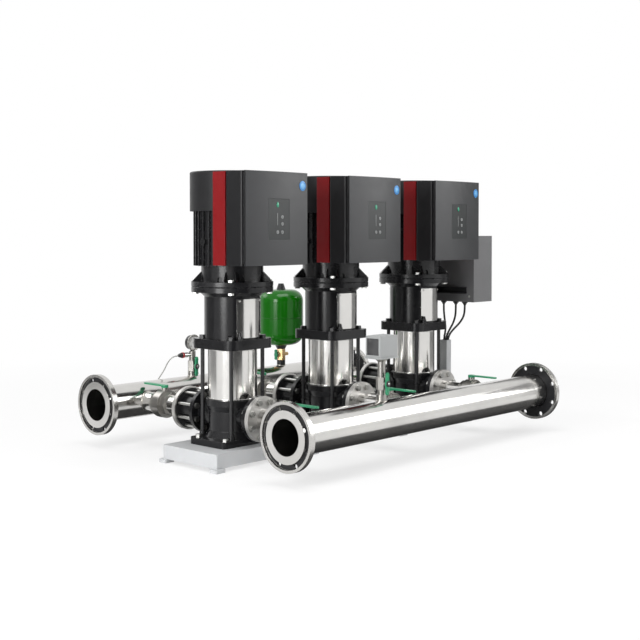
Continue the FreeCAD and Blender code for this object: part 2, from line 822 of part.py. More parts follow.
def fan_covers():
    inner = "fan_cover_radius - fan_cover_sheet"
    cover = turned("fan_cover", [
        (inner, "frame_top"), ("fan_cover_radius", "frame_top"), ("fan_cover_radius", FAN_COVER_TOP),
        ("0", FAN_COVER_TOP), ("0", FAN_COVER_TOP + " - fan_cover_sheet"),
        (inner, FAN_COVER_TOP + " - fan_cover_sheet")])
    round_rims(cover, "fan_cover_edge", (number("frame_top") + number("fan_cover_height"),))
    slot = sketch_on(cover, "XY_Plane", FAN_COVER_TOP)
    draw_outline(slot, [("fan_slot_inner", "-fan_slot_width / 2"), ("fan_slot_outer", "-fan_slot_width / 2"),
                        ("fan_slot_outer", "fan_slot_width / 2"), ("fan_slot_inner", "fan_slot_width / 2")])
    opening = pocket_through(cover, slot)
    repeat_round(cover, slot, opening, "fan_slots")
    keep("fan_covers", at_each_pump(cover))


def bolts():
    """flange bolts of the motors and foot bolts of the pumps"""
    shank = cylinder("motor_bolt_radius", "stool_flange + motor_flange + bolt_head_height")
    head = prism(6, "bolt_head_radius", "bolt_head_height", z="stool_flange + motor_flange")
    nut = prism(6, "bolt_head_radius", "bolt_head_height", z="-bolt_head_height")
    bolt = fuse([shank, head, nut])
    foot_shank = cylinder("base_bolt_hole - 1", "base_plate + tray_sheet + rail_sheet + bolt_head_height")
    foot_head = prism(6, "bolt_head_radius", "bolt_head_height", z="base_plate + tray_sheet + rail_sheet")
    foot_bolt = fuse([foot_shank, foot_head])
    pieces = []
    for middle in PUMPS.values():
        for sign_x in ("-", "+"):
            for sign_y in ("-", "+"):
                pieces.append(copy_of(bolt, "%s %s motor_bolt_circle * cos(45)" % (middle, sign_x),
                                      "%smotor_bolt_circle * cos(45)" % sign_y, "stool_top - stool_flange"))
                pieces.append(copy_of(foot_bolt, "%s %s base_bolt_x" % (middle, sign_x),
                                      "%sbase_bolt_y" % sign_y,
                                      "tray_top - tray_sheet - rail_sheet"))
    keep("motor_and_foot_bolts", pieces)


# Frequency converters

def motor_clearance():
    """the space that the motor takes up inside the converter's saddle"""
    upper = cylinder("fan_cover_radius + saddle_gap", "drive_top", z="frame_top - saddle_gap")
    lower = cylinder("frame_radius + fin_height + saddle_gap", "2 * drive_top")
    return [upper, lower]


def drives():
    half = "drive_width / 2"
    back = plate("drive_block", half, "(drive_front - drive_back) / 2", "drive_top - drive_bottom",
                 "drive_corner")
    neck = box(("recess - " + half, "-cover_back", "drive_bottom + recess"),
               (half + " - recess", "-drive_front + 1", "drive_top - recess"))
    housing = cut(fuse([copy_of(back, y="-(drive_front + drive_back) / 2", z="drive_bottom"), neck]),
                  motor_clearance())
    keep("drive_housings", at_each_pump(housing))
    band = box(("-" + half, "-drive_back", "drive_bottom"), (half, "-trim_back", "drive_top"))
    keep("drive_trims", at_each_pump(cut(band, motor_clearance())))
    slab = new_body("cover_slab")
    drawn = sketch_on(slab, "XY_Plane", "drive_bottom")
    draw_outline(drawn, [("-" + half, "-cover_front"), (half, "-cover_front"), (half, "-cover_back"),
                         ("-" + half, "-cover_back")])
    round_upright_edges(slab, pad(slab, drawn, "drive_top - drive_bottom"), "cover_corner")
    bow = cylinder("cover_bow", "drive_top * 2", y="cover_bow - cover_front")
    panel_hole = box(("-panel_width / 2 - panel_gap", "-cover_front - 1", "panel_bottom - panel_gap"),
                     ("panel_width / 2 + panel_gap", "-cover_front + panel_depth", "panel_top + panel_gap"))
    keep("drive_covers", at_each_pump(cut(common(slab, bow), [panel_hole])))
    panel = compound([box(("-panel_width / 2", "-cover_front + 2", "panel_bottom"),
                          ("panel_width / 2", "-cover_front + panel_depth", "panel_top"))])
    keep("control_panels", at_each_pump(panel))


# Valves between the pumps and the manifolds
SUCTION_FACE = "port_reach + port_flange"
DISCHARGE_FACE = "port_reach + check_length + port_flange"
SUCTION_AXIS = "port_reach + port_flange + manifold_reach"
DISCHARGE_AXIS = "port_reach + check_length + port_flange + manifold_reach"


def port_flanges():
    flange = ring("port_ring", "port_flange_radius", "stub_radius", "port_flange")
    drill_circle(flange, "port_hole_radius", "port_circle_radius", "port_holes")
    keep("port_flanges", at_each_pump(flange, y="-port_reach", z="port_height", turn=AGAINST_Y)
         + at_each_pump(flange, y="port_reach + check_length", z="port_height", turn=ALONG_Y))


def stud(grip):
    """a stud through two flanges with a nut at each end"""
    rod = cylinder("port_hole_radius - 1", "%s + 2 * bolt_head_height" % grip, z="-bolt_head_height")
    near = prism(6, "bolt_head_radius", "bolt_head_height", z="-bolt_head_height")
    far = prism(6, "bolt_head_radius", "bolt_head_height", z=grip)
    return fuse([rod, near, far])


def port_studs():
    short = stud("2 * port_flange")
    long = stud("2 * port_flange + check_length")
    pieces = []
    count = int(number("port_holes"))
    for step in range(count):
        angle = "(%d + 0.5) * 360 / port_holes" % step
        across = "port_circle_radius * cos(%s)" % angle
        level = "port_height + port_circle_radius * sin(%s)" % angle
        for middle in PUMPS.values():
            pieces.append(copy_of(short, "%s + %s" % (middle, across), "port_flange - port_reach", level,
                                  AGAINST_Y))
            pieces.append(copy_of(long, "%s + %s" % (middle, across), "port_reach - port_flange", level,
                                  ALONG_Y))
    keep("port_studs", pieces)


def valve_places(side):
    face = {"suction": SUCTION_FACE, "discharge": DISCHARGE_FACE}[side]
    sign = {"suction": "-", "discharge": ""}[side]
    return "%s(%s + valve_reach)" % (sign, face)


def isolating_valves():
    body = turned("valve_ring", [
        ("port_bore_radius", "-valve_length / 2"), ("valve_radius", "-valve_length / 2"),
        ("valve_radius", "valve_length / 2"), ("port_bore_radius", "valve_length / 2")])
    ends = []
    for start in ("valve_length / 2", "-valve_length / 2 - valve_end"):
        nut = cut(prism(8, "valve_end_radius", "valve_end"), [cylinder("stub_radius", "valve_end")])
        ends.append(copy_of(nut, y=start, turn=ALONG_Y))
    neck = cylinder("valve_neck_radius", "valve_neck_top - port_bore_radius - 4", z="port_bore_radius + 4")
    stem_hole = cylinder("stem_radius + stem_gap", "valve_neck_top * 2", z="-valve_neck_top")
    casting = cut(fuse([copy_of(body, turn=ALONG_Y), neck] + ends), [stem_hole])
    keep("isolating_valves", at_each_pump(casting, y=valve_places("suction"), z="port_height")
         + at_each_pump(casting, y=valve_places("discharge"), z="port_height"))
    disc = cylinder("disc_radius", "disc", "-disc / 2", turn=ALONG_X)
    foot = "disc_radius + valve_neck_radius / 2"
    stem = cylinder("stem_radius", "valve_neck_top + lever_lift + lever_height + " + foot, z="-(%s)" % foot)
    hub = cylinder("lever_hub_radius", "lever_height + lever_lift", z="valve_neck_top + near_gap")
    grip = plate("lever_grip", "lever_width / 2", "lever_length / 2", "lever_height", "lever_width / 2.2")
    bar = copy_of(grip, y="lever_length / 2 - lever_hub_radius / 2",
                  z="valve_neck_top + lever_lift + near_gap")
    lever = fuse([disc, stem, hub, bar])
    for k, middle in PUMPS.items():
        keep("suction_lever_%d" % k, [
            copy_of(lever, middle, valve_places("suction"), "port_height", turn_about_z(180))])
        keep("discharge_lever_%d" % k, [copy_of(lever, middle, valve_places("discharge"), "port_height")])


def check_valves():
    body = turned("check_ring", [
        ("check_seat_radius", "0"), ("check_radius", "0"), ("check_radius", "check_length"),
        ("port_bore_radius", "check_length"), ("port_bore_radius", "check_length - check_seat"),
        ("check_chamber_radius", "check_length - check_seat"), ("check_chamber_radius", "check_seat"),
        ("check_seat_radius", "check_seat")])
    keep("check_valves", at_each_pump(body, y="port_reach", z="port_height", turn=ALONG_Y))
    for k, middle in PUMPS.items():
        seat = "port_reach + check_seat + near_gap"
        flap = fuse([cylinder("flap_radius", "flap", middle, seat, "port_height", ALONG_Y),
                     cylinder("flap_pin_radius", "flap_radius", "%s - flap_radius / 2" % middle,
                              "%s + flap_pin_radius" % seat, "port_height + flap_radius - 1", ALONG_X)])
        keep("check_flap_%d" % k, [flap])


# Manifolds

def manifold(label, axis, sign):
    reach = "%s(%s)" % (sign, axis)
    length = "manifold_near + manifold_far"
    pipe = turned(label + "_pipe", [
        ("collar_bore", "0"), ("collar_radius", "0"), ("collar_radius", "collar"), ("pipe_radius", "collar"),
        ("pipe_radius", length + " - collar"), ("collar_radius", length + " - collar"),
        ("collar_radius", length),
        ("collar_bore", length), ("collar_bore", length + " - collar"), ("pipe_bore", length + " - collar"),
        ("pipe_bore", "collar"), ("collar_bore", "collar")])
    inward = {"-": ALONG_Y, "": AGAINST_Y}[sign]
    branches = [cylinder("port_bore_radius", "manifold_reach", middle, reach, "port_height", inward)
                for middle in PUMPS.values()]
    pieces = [cut(copy_of(pipe, "-manifold_near", reach, "port_height", ALONG_X), branches)]
    outer = cylinder("stub_radius", "manifold_reach - valve_reach - valve_length / 2")
    outer_tube = cut(outer, [cylinder("port_bore_radius", "manifold_reach")])
    saddle = cylinder("pipe_radius", "4 * stub_radius", "-2 * stub_radius", turn=ALONG_X)
    branch = cut(outer_tube, [saddle])
    inner_tube = ring(label + "_stub", "stub_radius", "port_bore_radius",
                      "valve_reach - valve_length / 2 + port_flange")
    face = "%s(%s - port_flange)" % (sign, {"-": SUCTION_FACE, "": DISCHARGE_FACE}[sign])
    outward = {"-": AGAINST_Y, "": ALONG_Y}[sign]
    pieces += at_each_pump(branch, y=reach, z="port_height", turn=inward)
    pieces += at_each_pump(inner_tube, y=face, z="port_height", turn=outward)
    keep(label, pieces)


def manifold_flanges():
    flange = turned("loose_ring", [
        ("pipe_radius + loose_flange_gap", "loose_flange_rim"),
        ("loose_flange_radius - loose_flange_rim", "loose_flange_rim"),
        ("loose_flange_radius - loose_flange_rim", "0"), ("loose_flange_radius", "0"),
        ("loose_flange_radius", "loose_flange"), ("pipe_radius + loose_flange_gap", "loose_flange")])
    drill_circle(flange, "loose_hole_radius", "loose_circle_radius", "loose_holes")
    pieces = []
    for reach in ("-(%s)" % SUCTION_AXIS, DISCHARGE_AXIS):
        pieces.append(copy_of(flange, "-manifold_near", reach, "port_height", ALONG_X))
        pieces.append(copy_of(flange, "manifold_far", reach, "port_height", AGAINST_X))
    keep("manifold_flanges", pieces)


# Tank, gauge, switch and sender

def tank():
    outer = turned("tank_shell", [("0", "tank_bottom"), ("tank_radius", "tank_bottom"),
                                  ("tank_radius", "tank_top"),
                                  ("0", "tank_top")])
    round_rims(outer, "tank_dome", (number("tank_bottom"), number("tank_top")))
    inside = "tank_radius - tank_sheet"
    hollow = turned("tank_hollow", [
        ("0", "tank_bottom + tank_sheet"), (inside, "tank_bottom + tank_sheet"),
        (inside, "tank_top - tank_sheet"),
        ("0", "tank_top - tank_sheet")])
    round_rims(hollow, "tank_dome - tank_sheet",
               (number("tank_bottom") + number("tank_sheet"), number("tank_top") - number("tank_sheet")))
    keep("diaphragm_tank", [copy_of(cut(outer, [hollow]), "tank_x", DISCHARGE_AXIS)])
    cap = cone("tank_cap_radius", "tank_cap_radius * 0.55", "tank_cap", "tank_x", DISCHARGE_AXIS,
               "tank_top - 1")
    skirt = cone("tank_neck_radius", "tank_neck_radius * 1.6", "tank_bottom - tank_valve_top",
                 "tank_x", DISCHARGE_AXIS, "tank_valve_top")
    socket = cylinder("socket_radius", "tank_valve_bottom - port_height", "tank_x", DISCHARGE_AXIS,
                      "port_height")
    pipe = cylinder("pipe_radius", "6 * socket_radius", "tank_x - 3 * socket_radius", DISCHARGE_AXIS,
                    "port_height",
                    ALONG_X)
    keep("tank_fittings", [cut(cap, [copy_of(outer, "tank_x", DISCHARGE_AXIS)]),
                           cut(skirt, [copy_of(outer, "tank_x", DISCHARGE_AXIS)]), cut(socket, [pipe])])
    middle = "(tank_valve_bottom + tank_valve_top) / 2"
    reach = "1.5 * tank_valve_radius"
    body = fuse([
        prism(6, "tank_valve_radius", "tank_valve_top - tank_valve_bottom", "tank_x", DISCHARGE_AXIS,
              "tank_valve_bottom"),
        cylinder("tank_valve_radius * 0.6", "tank_valve_radius * 1.3", "tank_x", DISCHARGE_AXIS, middle,
                 AGAINST_X),
        cylinder("tank_valve_radius * 0.4", "2 * tank_valve_radius", "tank_x", DISCHARGE_AXIS, middle,
                 ALONG_X)])
    bore = cylinder("stem_radius + stem_gap", reach, "tank_x - " + reach, DISCHARGE_AXIS, middle, ALONG_X)
    keep("tank_valve", [cut(body, [bore])])
    stem = cylinder("stem_radius", reach, "tank_x - lever_height - " + reach, DISCHARGE_AXIS, middle, ALONG_X)
    arm = box(("tank_x - lever_height - " + reach, DISCHARGE_AXIS + " - lever_height",
               middle + " - tank_lever / 2"),
              ("tank_x - " + reach, DISCHARGE_AXIS + " + lever_height", middle + " + tank_lever / 2"))
    keep("tank_valve_lever", [fuse([stem, arm])])


def riser(label, axis, sign, top, cock, extras):
    reach = "%s(%s)" % (sign, axis)
    tube = cylinder("riser_radius", "%s - port_height" % top, "riser_x", reach, "port_height")
    socket = cylinder("socket_radius", "pipe_radius + socket_height", "riser_x", reach, "port_height")
    ball = prism(6, "cock_radius * 1.15", "cock_radius * 2.6", "riser_x", reach,
                 cock + " - cock_radius * 1.3")
    bonnet = cylinder("cock_radius * 0.6", "handle_reach - lever_height", "riser_x", reach, cock, AGAINST_Y)
    pipe = cylinder("pipe_radius", "6 * socket_radius", "riser_x - 3 * socket_radius", reach, "port_height",
                    ALONG_X)
    stem_hole = cylinder("stem_radius / 2 + stem_gap", "handle_reach * 0.8", "riser_x",
                         reach + " - handle_reach", cock, ALONG_Y)
    keep(label + "_riser", [cut(fuse([tube, socket, ball, bonnet]), [pipe, stem_hole])] + extras)
    bar = box(("riser_x - handle_width / 2", reach + " - handle_reach", cock + " - handle_length / 2"),
              ("riser_x + handle_width / 2", reach + " - handle_reach + lever_height - near_gap",
               cock + " + handle_length / 2"))
    stem = cylinder("stem_radius / 2", "handle_reach * 0.7", "riser_x", reach + " - handle_reach", cock,
                    ALONG_Y)
    knob = cylinder("cock_radius * 0.55", "4", "riser_x", reach + " - handle_reach - 4", cock, ALONG_Y)
    keep(label + "_cock_handle", [fuse([bar, stem, knob])])


def pressure_switch():
    reach = "-(%s)" % SUCTION_AXIS
    case = plate("switch_case", "switch_length / 2", "switch_width / 2",
                 "switch_top - switch_bottom - switch_lip",
                 "switch_corner")
    sole = plate("switch_sole", "switch_length / 2 + switch_lip", "switch_width / 2 + switch_lip",
                 "switch_lip",
                 "switch_corner")
    window = box(("riser_x - switch_length / 2 - 1", reach + " + switch_corner * 1.5 - switch_width / 2",
                  "switch_bottom + 3 * switch_lip"),
                 ("riser_x - switch_length / 2 + switch_window",
                  reach + " + switch_width / 2 - switch_corner * 1.5",
                  "switch_top - 2 * switch_lip"))
    housing = fuse([copy_of(case, "riser_x", reach, "switch_bottom + switch_lip"),
                    copy_of(sole, "riser_x", reach, "switch_bottom")])
    keep("pressure_switch", [cut(housing, [window])])
    return cone("riser_radius", "riser_radius * 1.9", "switch_bottom - suction_riser_top", "riser_x", reach,
                "suction_riser_top")


def gauge_and_sender():
    reach = DISCHARGE_AXIS
    case = turned("gauge_case", [
        ("0", "0"), ("gauge_radius * 0.9", "0"), ("gauge_radius", "gauge_depth - 6"),
        ("gauge_radius", "gauge_depth"),
        ("gauge_radius - 4", "gauge_depth"), ("gauge_radius - 4", "gauge_depth - 5"),
        ("0", "gauge_depth - 5")])
    neck = cylinder("riser_radius * 0.6", "gauge_height - discharge_riser_top", "riser_x", reach,
                    "discharge_riser_top")
    body = copy_of(case, "riser_x", reach + " + gauge_depth / 2", "gauge_height", AGAINST_Y)
    keep("pressure_gauge", [fuse([body, neck])])
    front = reach + " - gauge_depth / 2"
    pointer = fuse([box(("riser_x - 1.2", front + " + 1.5", "gauge_height - 8"),
                        ("riser_x + 1.2", front + " + 2.7", "gauge_height + pointer_length")),
                    cylinder("4", "3.5", "riser_x", front + " + 1.2", "gauge_height", ALONG_Y)])
    keep("gauge_pointer", [pointer])
    sender = turned("sender", [
        ("0", "riser_radius"), ("sender_radius * 0.8", "riser_radius"),
        ("sender_radius * 0.8", "riser_radius + 18"),
        ("sender_radius", "riser_radius + 18"), ("sender_radius", "sender_length - 22"),
        ("sender_radius * 0.7", "sender_length - 22"), ("sensor_cable_radius", "sender_length"),
        ("0", "sender_length")])
    keep("pressure_sender", [copy_of(sender, "riser_x", reach, "sender_height", AGAINST_X)])


# Cabinet, stand and cables

def cabinet():
    front = "cabinet_back + cabinet_depth"
    shell = box(("cabinet_back", "-cabinet_width / 2", "cabinet_bottom"),
                (front, "cabinet_width / 2", "cabinet_top"))
    hollow = box(("cabinet_back + cabinet_sheet", "cabinet_sheet - cabinet_width / 2",
                  "cabinet_bottom + cabinet_sheet"),
                 (front + " + 1", "cabinet_width / 2 - cabinet_sheet", "cabinet_top - cabinet_sheet"))
    hinge_x = front + " + door_gap"
    hinge_y = "cabinet_width / 2 + hinge_radius"
    knuckles = []
    for level in ("cabinet_bottom + hinge_length", "cabinet_top - 2 * hinge_length"):
        ear = box((front + " - 2 * hinge_radius", "cabinet_width / 2", level + " - hinge_length / 2"),
                  (front + " - hinge_radius", hinge_y, level))
        pin = cylinder("hinge_radius", "hinge_length / 2", front + " - hinge_radius", hinge_y,
                       level + " - hinge_length / 2")
        knuckles += [ear, pin]
    keep("cabinet_body", [cut(fuse([shell] + knuckles), [hollow])])
    slab = box((hinge_x, "-cabinet_width / 2", "cabinet_bottom"),
               (hinge_x + " + door", "cabinet_width / 2", "cabinet_top"))
    dish = box((hinge_x + " - 1", "2 * cabinet_sheet - cabinet_width / 2",
                "cabinet_bottom + 2 * cabinet_sheet"),
               (hinge_x + " + door - cabinet_sheet", "cabinet_width / 2 - 2 * cabinet_sheet",
                "cabinet_top - 2 * cabinet_sheet"))
    leaf = cut(slab, [dish])
    lock = cylinder("hinge_radius * 2", "4", hinge_x + " + door", "hinge_length - cabinet_width / 2",
                    "(cabinet_bottom + cabinet_top) / 2", ALONG_X)
    latch = cylinder("hinge_radius", "door", hinge_x, "hinge_length - cabinet_width / 2",
                     "(cabinet_bottom + cabinet_top) / 2", ALONG_X)
    keep("cabinet_door", [fuse([leaf, lock, latch])])
    post = box(("post_x - post_width / 2", "post_y - post_width / 2", "tray_top"),
               ("post_x + post_width / 2", "post_y + post_width / 2", "cabinet_top - hinge_length"))
    sole = box(("post_x - post_width / 2", "post_y - post_width", "tray_top"),
               ("post_x + post_width / 2", "post_y + post_width", "tray_top + rail_sheet * 2"))
    arms = []
    for level in ("cabinet_bottom + hinge_length", "cabinet_top - 2 * hinge_length"):
        rail = box(("cabinet_back - arm_depth", "-cabinet_width / 2 + hinge_length", level),
                   ("cabinet_back", "cabinet_width / 2 - hinge_length / 2", level + " + arm_depth"))
        groove = box(("cabinet_back - arm_depth - 1", "-cabinet_width", level + " + rail_sheet"),
                     ("cabinet_back - rail_sheet", "cabinet_width", level + " + arm_depth - rail_sheet"))
        spacer = box(("post_x", "post_y - post_width / 2", level),
                     ("cabinet_back", "post_y + post_width / 2", level + " + arm_depth"))
        arms += [cut(rail, [groove]), spacer]
    low = ("duct_x - duct_length / 2", "duct_y - duct_width / 2", "tray_top")
    high = ("duct_x + duct_length / 2", "duct_y + duct_width / 2", "duct_top")
    inside_low = (low[0] + " + duct_sheet", low[1] + " + duct_sheet", "tray_top + duct_sheet")
    inside_high = (high[0] + " - duct_sheet", high[1] + " - duct_sheet", "duct_top + 1")
    keep("cabinet_stand", [fuse([post, sole] + arms), cut(box(low, high), [box(inside_low, inside_high)])])


def glands():
    gland = fuse([prism(6, "gland_radius * 1.3", "gland_length / 2", z="-gland_length / 2"),
                  cone("gland_radius * 0.6", "gland_radius", "gland_length / 2", z="-gland_length")])
    bored = cut(gland, [cylinder("cable_radius", "gland_length * 2", z="-gland_length * 1.5")])
    keep("cable_glands", [copy_of(bored, "gland_x", str(across),
                                  "cabinet_bottom") for across in GLAND_ACROSS])


# Cables: straight runs joined by tangent arcs

def tube_along(points, radius):
    """a round cable along a route, and its bend radii"""
    count = len(points)
    radii = []
    edges = []
    start = points[0]
    for i in range(1, count - 1):
        before = points[i] - points[i - 1]
        after = points[i + 1] - points[i]
        half_turn = before.getAngle(after) / 2
        reach = 0.45 * min(before.Length, after.Length)
        radii.append(reach / math.tan(half_turn))
        arc_start = points[i] - FreeCAD.Vector(before).normalize() * reach
        arc_end = points[i] + FreeCAD.Vector(after).normalize() * reach
        inward = (FreeCAD.Vector(after).normalize() - FreeCAD.Vector(before).normalize()).normalize()
        middle = points[i] + inward * radii[-1] * (1 / math.cos(half_turn) - 1)
        edges.append(Part.LineSegment(start, arc_start).toShape())
        edges.append(Part.Arc(arc_start, middle, arc_end).toShape())
        start = arc_end
    edges.append(Part.LineSegment(start, points[-1]).toShape())
    path = Part.Wire(edges)
    circle = Part.Wire(Part.Circle(points[0], points[1] - points[0], radius).toShape())
    tube = path.makePipeShell([circle], True, False)
    expected = math.pi * radius ** 2 * path.Length
    print("cable %.0f mm long, least bend %.0f mm, volume off by %.2f%%"
          % (path.Length, min(radii), 100 * abs(tube.Volume / expected - 1)))
    return tube


def keep_cables(label, tubes):
    made = doc.addObject("Part::Feature", label)
    made.Shape = Part.Compound(tubes)
    nodes[label] = made


GLAND_ACROSS = (63, -19, -79)
DUCT_ACROSS = (-26, -38, -50)


def cabinet_cables():
    """three cables from the cabinet's glands into the top of the duct"""
    tubes = []
    for start, end in zip(GLAND_ACROSS, DUCT_ACROSS):
        route = [(1000, 0.0, 615), (1000, 0.0, 580), (991, 0.12, 546), (965, 0.4, 514), (928, 0.75, 486),
                 (896, 0.95, 458), (882, 1.0, 420), (881, 1.0, 380)]
        points = [FreeCAD.Vector(x, start + (end - start) * share, z) for x, share, z in route]
        tubes.append(tube_along(points, number("cable_radius")))
    keep_cables("cabinet_cables", tubes)


def sensor_cable():
    """from the pressure sender behind the discharge manifold, once part way round it, and over to the duct"""
    axis_y = 675
    wrap_radius = number("pipe_radius") + number("sensor_cable_radius") + 1
    drop = [(-397, 675, 392), (-424, 675, 391), (-448, 677, 379), (-463, 685, 354), (-469, 700, 322),
            (-474, 722, 294), (-474, 746, 266), (-468, 762, 236)]
    points = [FreeCAD.Vector(*point) for point in drop]
    wraps = 16
    for step in range(wraps):
        angle = math.radians(8 - 123 * step / (wraps - 1))
        points.append(FreeCAD.Vector(-440 + 76 * step, axis_y + wrap_radius * math.cos(angle),
                                     200 + wrap_radius * math.sin(angle)))
    to_duct = [(754, 604, 110), (790, 562, 92), (809, 500, 78), (818, 430, 68), (822, 358, 64),
               (824, 288, 68),
               (826, 226, 79), (826, 176, 88), (825, 122, 83), (823, 68, 82), (822, 24, 84), (824, -6, 87),
               (832, -28, 90), (845, -38, 91), (861, -38, 91)]
    points += [FreeCAD.Vector(*point) for point in to_duct]
    keep_cables("sensor_cable", [tube_along(points, number("sensor_cable_radius"))])


base_tray()
keep("base_rails_and_feet", base_rails() + base_feet())
pump_bases()
chamber_stack()
pump_heads()
stay_bolts()
motor_stools()
rotors()
motors()
fan_covers()
bolts()
drives()
port_flanges()
port_studs()
isolating_valves()
check_valves()
manifold("suction_manifold", SUCTION_AXIS, "-")
manifold("discharge_manifold", DISCHARGE_AXIS, "")
manifold_flanges()
tank()
riser("suction", SUCTION_AXIS, "-", "suction_riser_top", "suction_cock_height", [pressure_switch()])
riser("discharge", DISCHARGE_AXIS, "", "discharge_riser_top", "discharge_cock_height", [])
gauge_and_sender()
cabinet()
glands()
cabinet_cables()
sensor_cable()
doc.recompute()

# Every object has to be sound before anything is written
for made in doc.Objects:
    if "Invalid" in made.State or "Error" in made.State:
        raise RuntimeError("%s failed: %s" % (made.Label, made.State))
for label, made in nodes.items():
    if made.Shape.isNull() or not made.Shape.isValid() or not made.Shape.Solids:
        raise RuntimeError("%s has no sound shape" % label)
os.makedirs("parts", exist_ok=True)
for label, made in nodes.items():
    made.Shape.exportStep("parts/%s.step" % label)
print("%d sub-parts written" % len(nodes))
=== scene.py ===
# The booster pump set dressed for its picture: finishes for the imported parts, and the fine pieces on them.
# Lengths are in metres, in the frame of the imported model: X along the manifolds, -Y to the suction side.
import bmesh
import bpy
import json
import math
from mathutils import Matrix, Vector


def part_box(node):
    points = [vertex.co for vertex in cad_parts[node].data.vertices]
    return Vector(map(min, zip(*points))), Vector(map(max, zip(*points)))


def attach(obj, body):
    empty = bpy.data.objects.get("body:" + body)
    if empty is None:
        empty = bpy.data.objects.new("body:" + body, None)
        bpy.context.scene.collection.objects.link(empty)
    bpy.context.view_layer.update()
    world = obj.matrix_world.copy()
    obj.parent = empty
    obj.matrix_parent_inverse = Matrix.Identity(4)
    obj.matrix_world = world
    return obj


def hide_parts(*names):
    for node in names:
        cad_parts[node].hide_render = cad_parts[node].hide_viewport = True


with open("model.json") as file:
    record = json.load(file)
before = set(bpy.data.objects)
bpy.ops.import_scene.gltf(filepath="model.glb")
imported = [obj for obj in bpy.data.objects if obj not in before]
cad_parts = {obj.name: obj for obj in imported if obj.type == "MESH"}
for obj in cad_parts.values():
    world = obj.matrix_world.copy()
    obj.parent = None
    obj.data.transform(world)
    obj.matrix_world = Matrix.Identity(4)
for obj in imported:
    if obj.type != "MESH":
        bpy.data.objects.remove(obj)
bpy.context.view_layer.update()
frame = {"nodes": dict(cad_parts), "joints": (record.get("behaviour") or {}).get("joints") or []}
scene = bpy.context.scene
scene.view_settings.view_transform = "Standard"
NODES = frame["nodes"]
STATIC = "pump_set"

# Places of the pumps, the manifolds and what stands on them
COLUMNS = sorted(joint["pos_m"][0] for joint in frame["joints"] if joint["child"].startswith("pump_rotor"))
PUMP_PITCH = COLUMNS[1] - COLUMNS[0]
PORT_HEIGHT = 0.2
SUCTION_Y = -0.575
DISCHARGE_Y = 0.675
RISER_X = -0.305
TANK_X = 0.334

# Outer radii of the manifold pipes, of their branches and of the sockets on them
PIPE_RADIUS = 0.08415
STUB_RADIUS = 0.04445
SOCKET_RADIUS = 0.023

# Where one node changes its colour: radii on the flanges, inside which the loose flanges' black is painted
# dark reflection and shade, and a height on the cabinet's stand, above which its black is painted shade
LOOSE_RIM = 0.1298
PORT_RIM = 0.0925
STAND_GREY_TOP = 0.5

# How deep the grain of paint and of metal is, and how round a machined edge looks
GRAIN_DEPTH = 0.0003
MARK_DEPTH = 0.0002
MACHINED_EDGE = 0.0012

WHITE = (1, 1, 1, 1)
DUST = (0.45, 0.44, 0.42, 1)
AGAINST_Y = Matrix.Rotation(math.radians(90), 4, "X")
ALONG_X = Matrix.Rotation(math.radians(90), 4, "Y")
AGAINST_X = Matrix.Rotation(math.radians(-90), 4, "Y")


# Finishes

class Nodes:
    """a node tree, with short ways to add to it"""

    def __init__(self, tree):
        self.tree = tree

    def add(self, kind, inputs=None, **settings):
        node = self.tree.nodes.new(kind)
        for key, value in settings.items():
            setattr(node, key, value)
        for key, value in (inputs or {}).items():
            if isinstance(value, bpy.types.NodeSocket):
                self.tree.links.new(value, node.inputs[key])
            else:
                node.inputs[key].default_value = value
        return node

    def math(self, operation, first, second=0.0):
        return self.add("ShaderNodeMath", {0: first, 1: second}, operation=operation).outputs[0]

    def seen_directly(self):
        """1 for rays from the camera, off polished faces or through glass, 0 for the light on all else"""
        path = self.add("ShaderNodeLightPath").outputs
        seen = self.math("MAXIMUM", path["Is Camera Ray"], path["Is Glossy Ray"])
        return self.math("MAXIMUM", seen, path["Is Transmission Ray"])


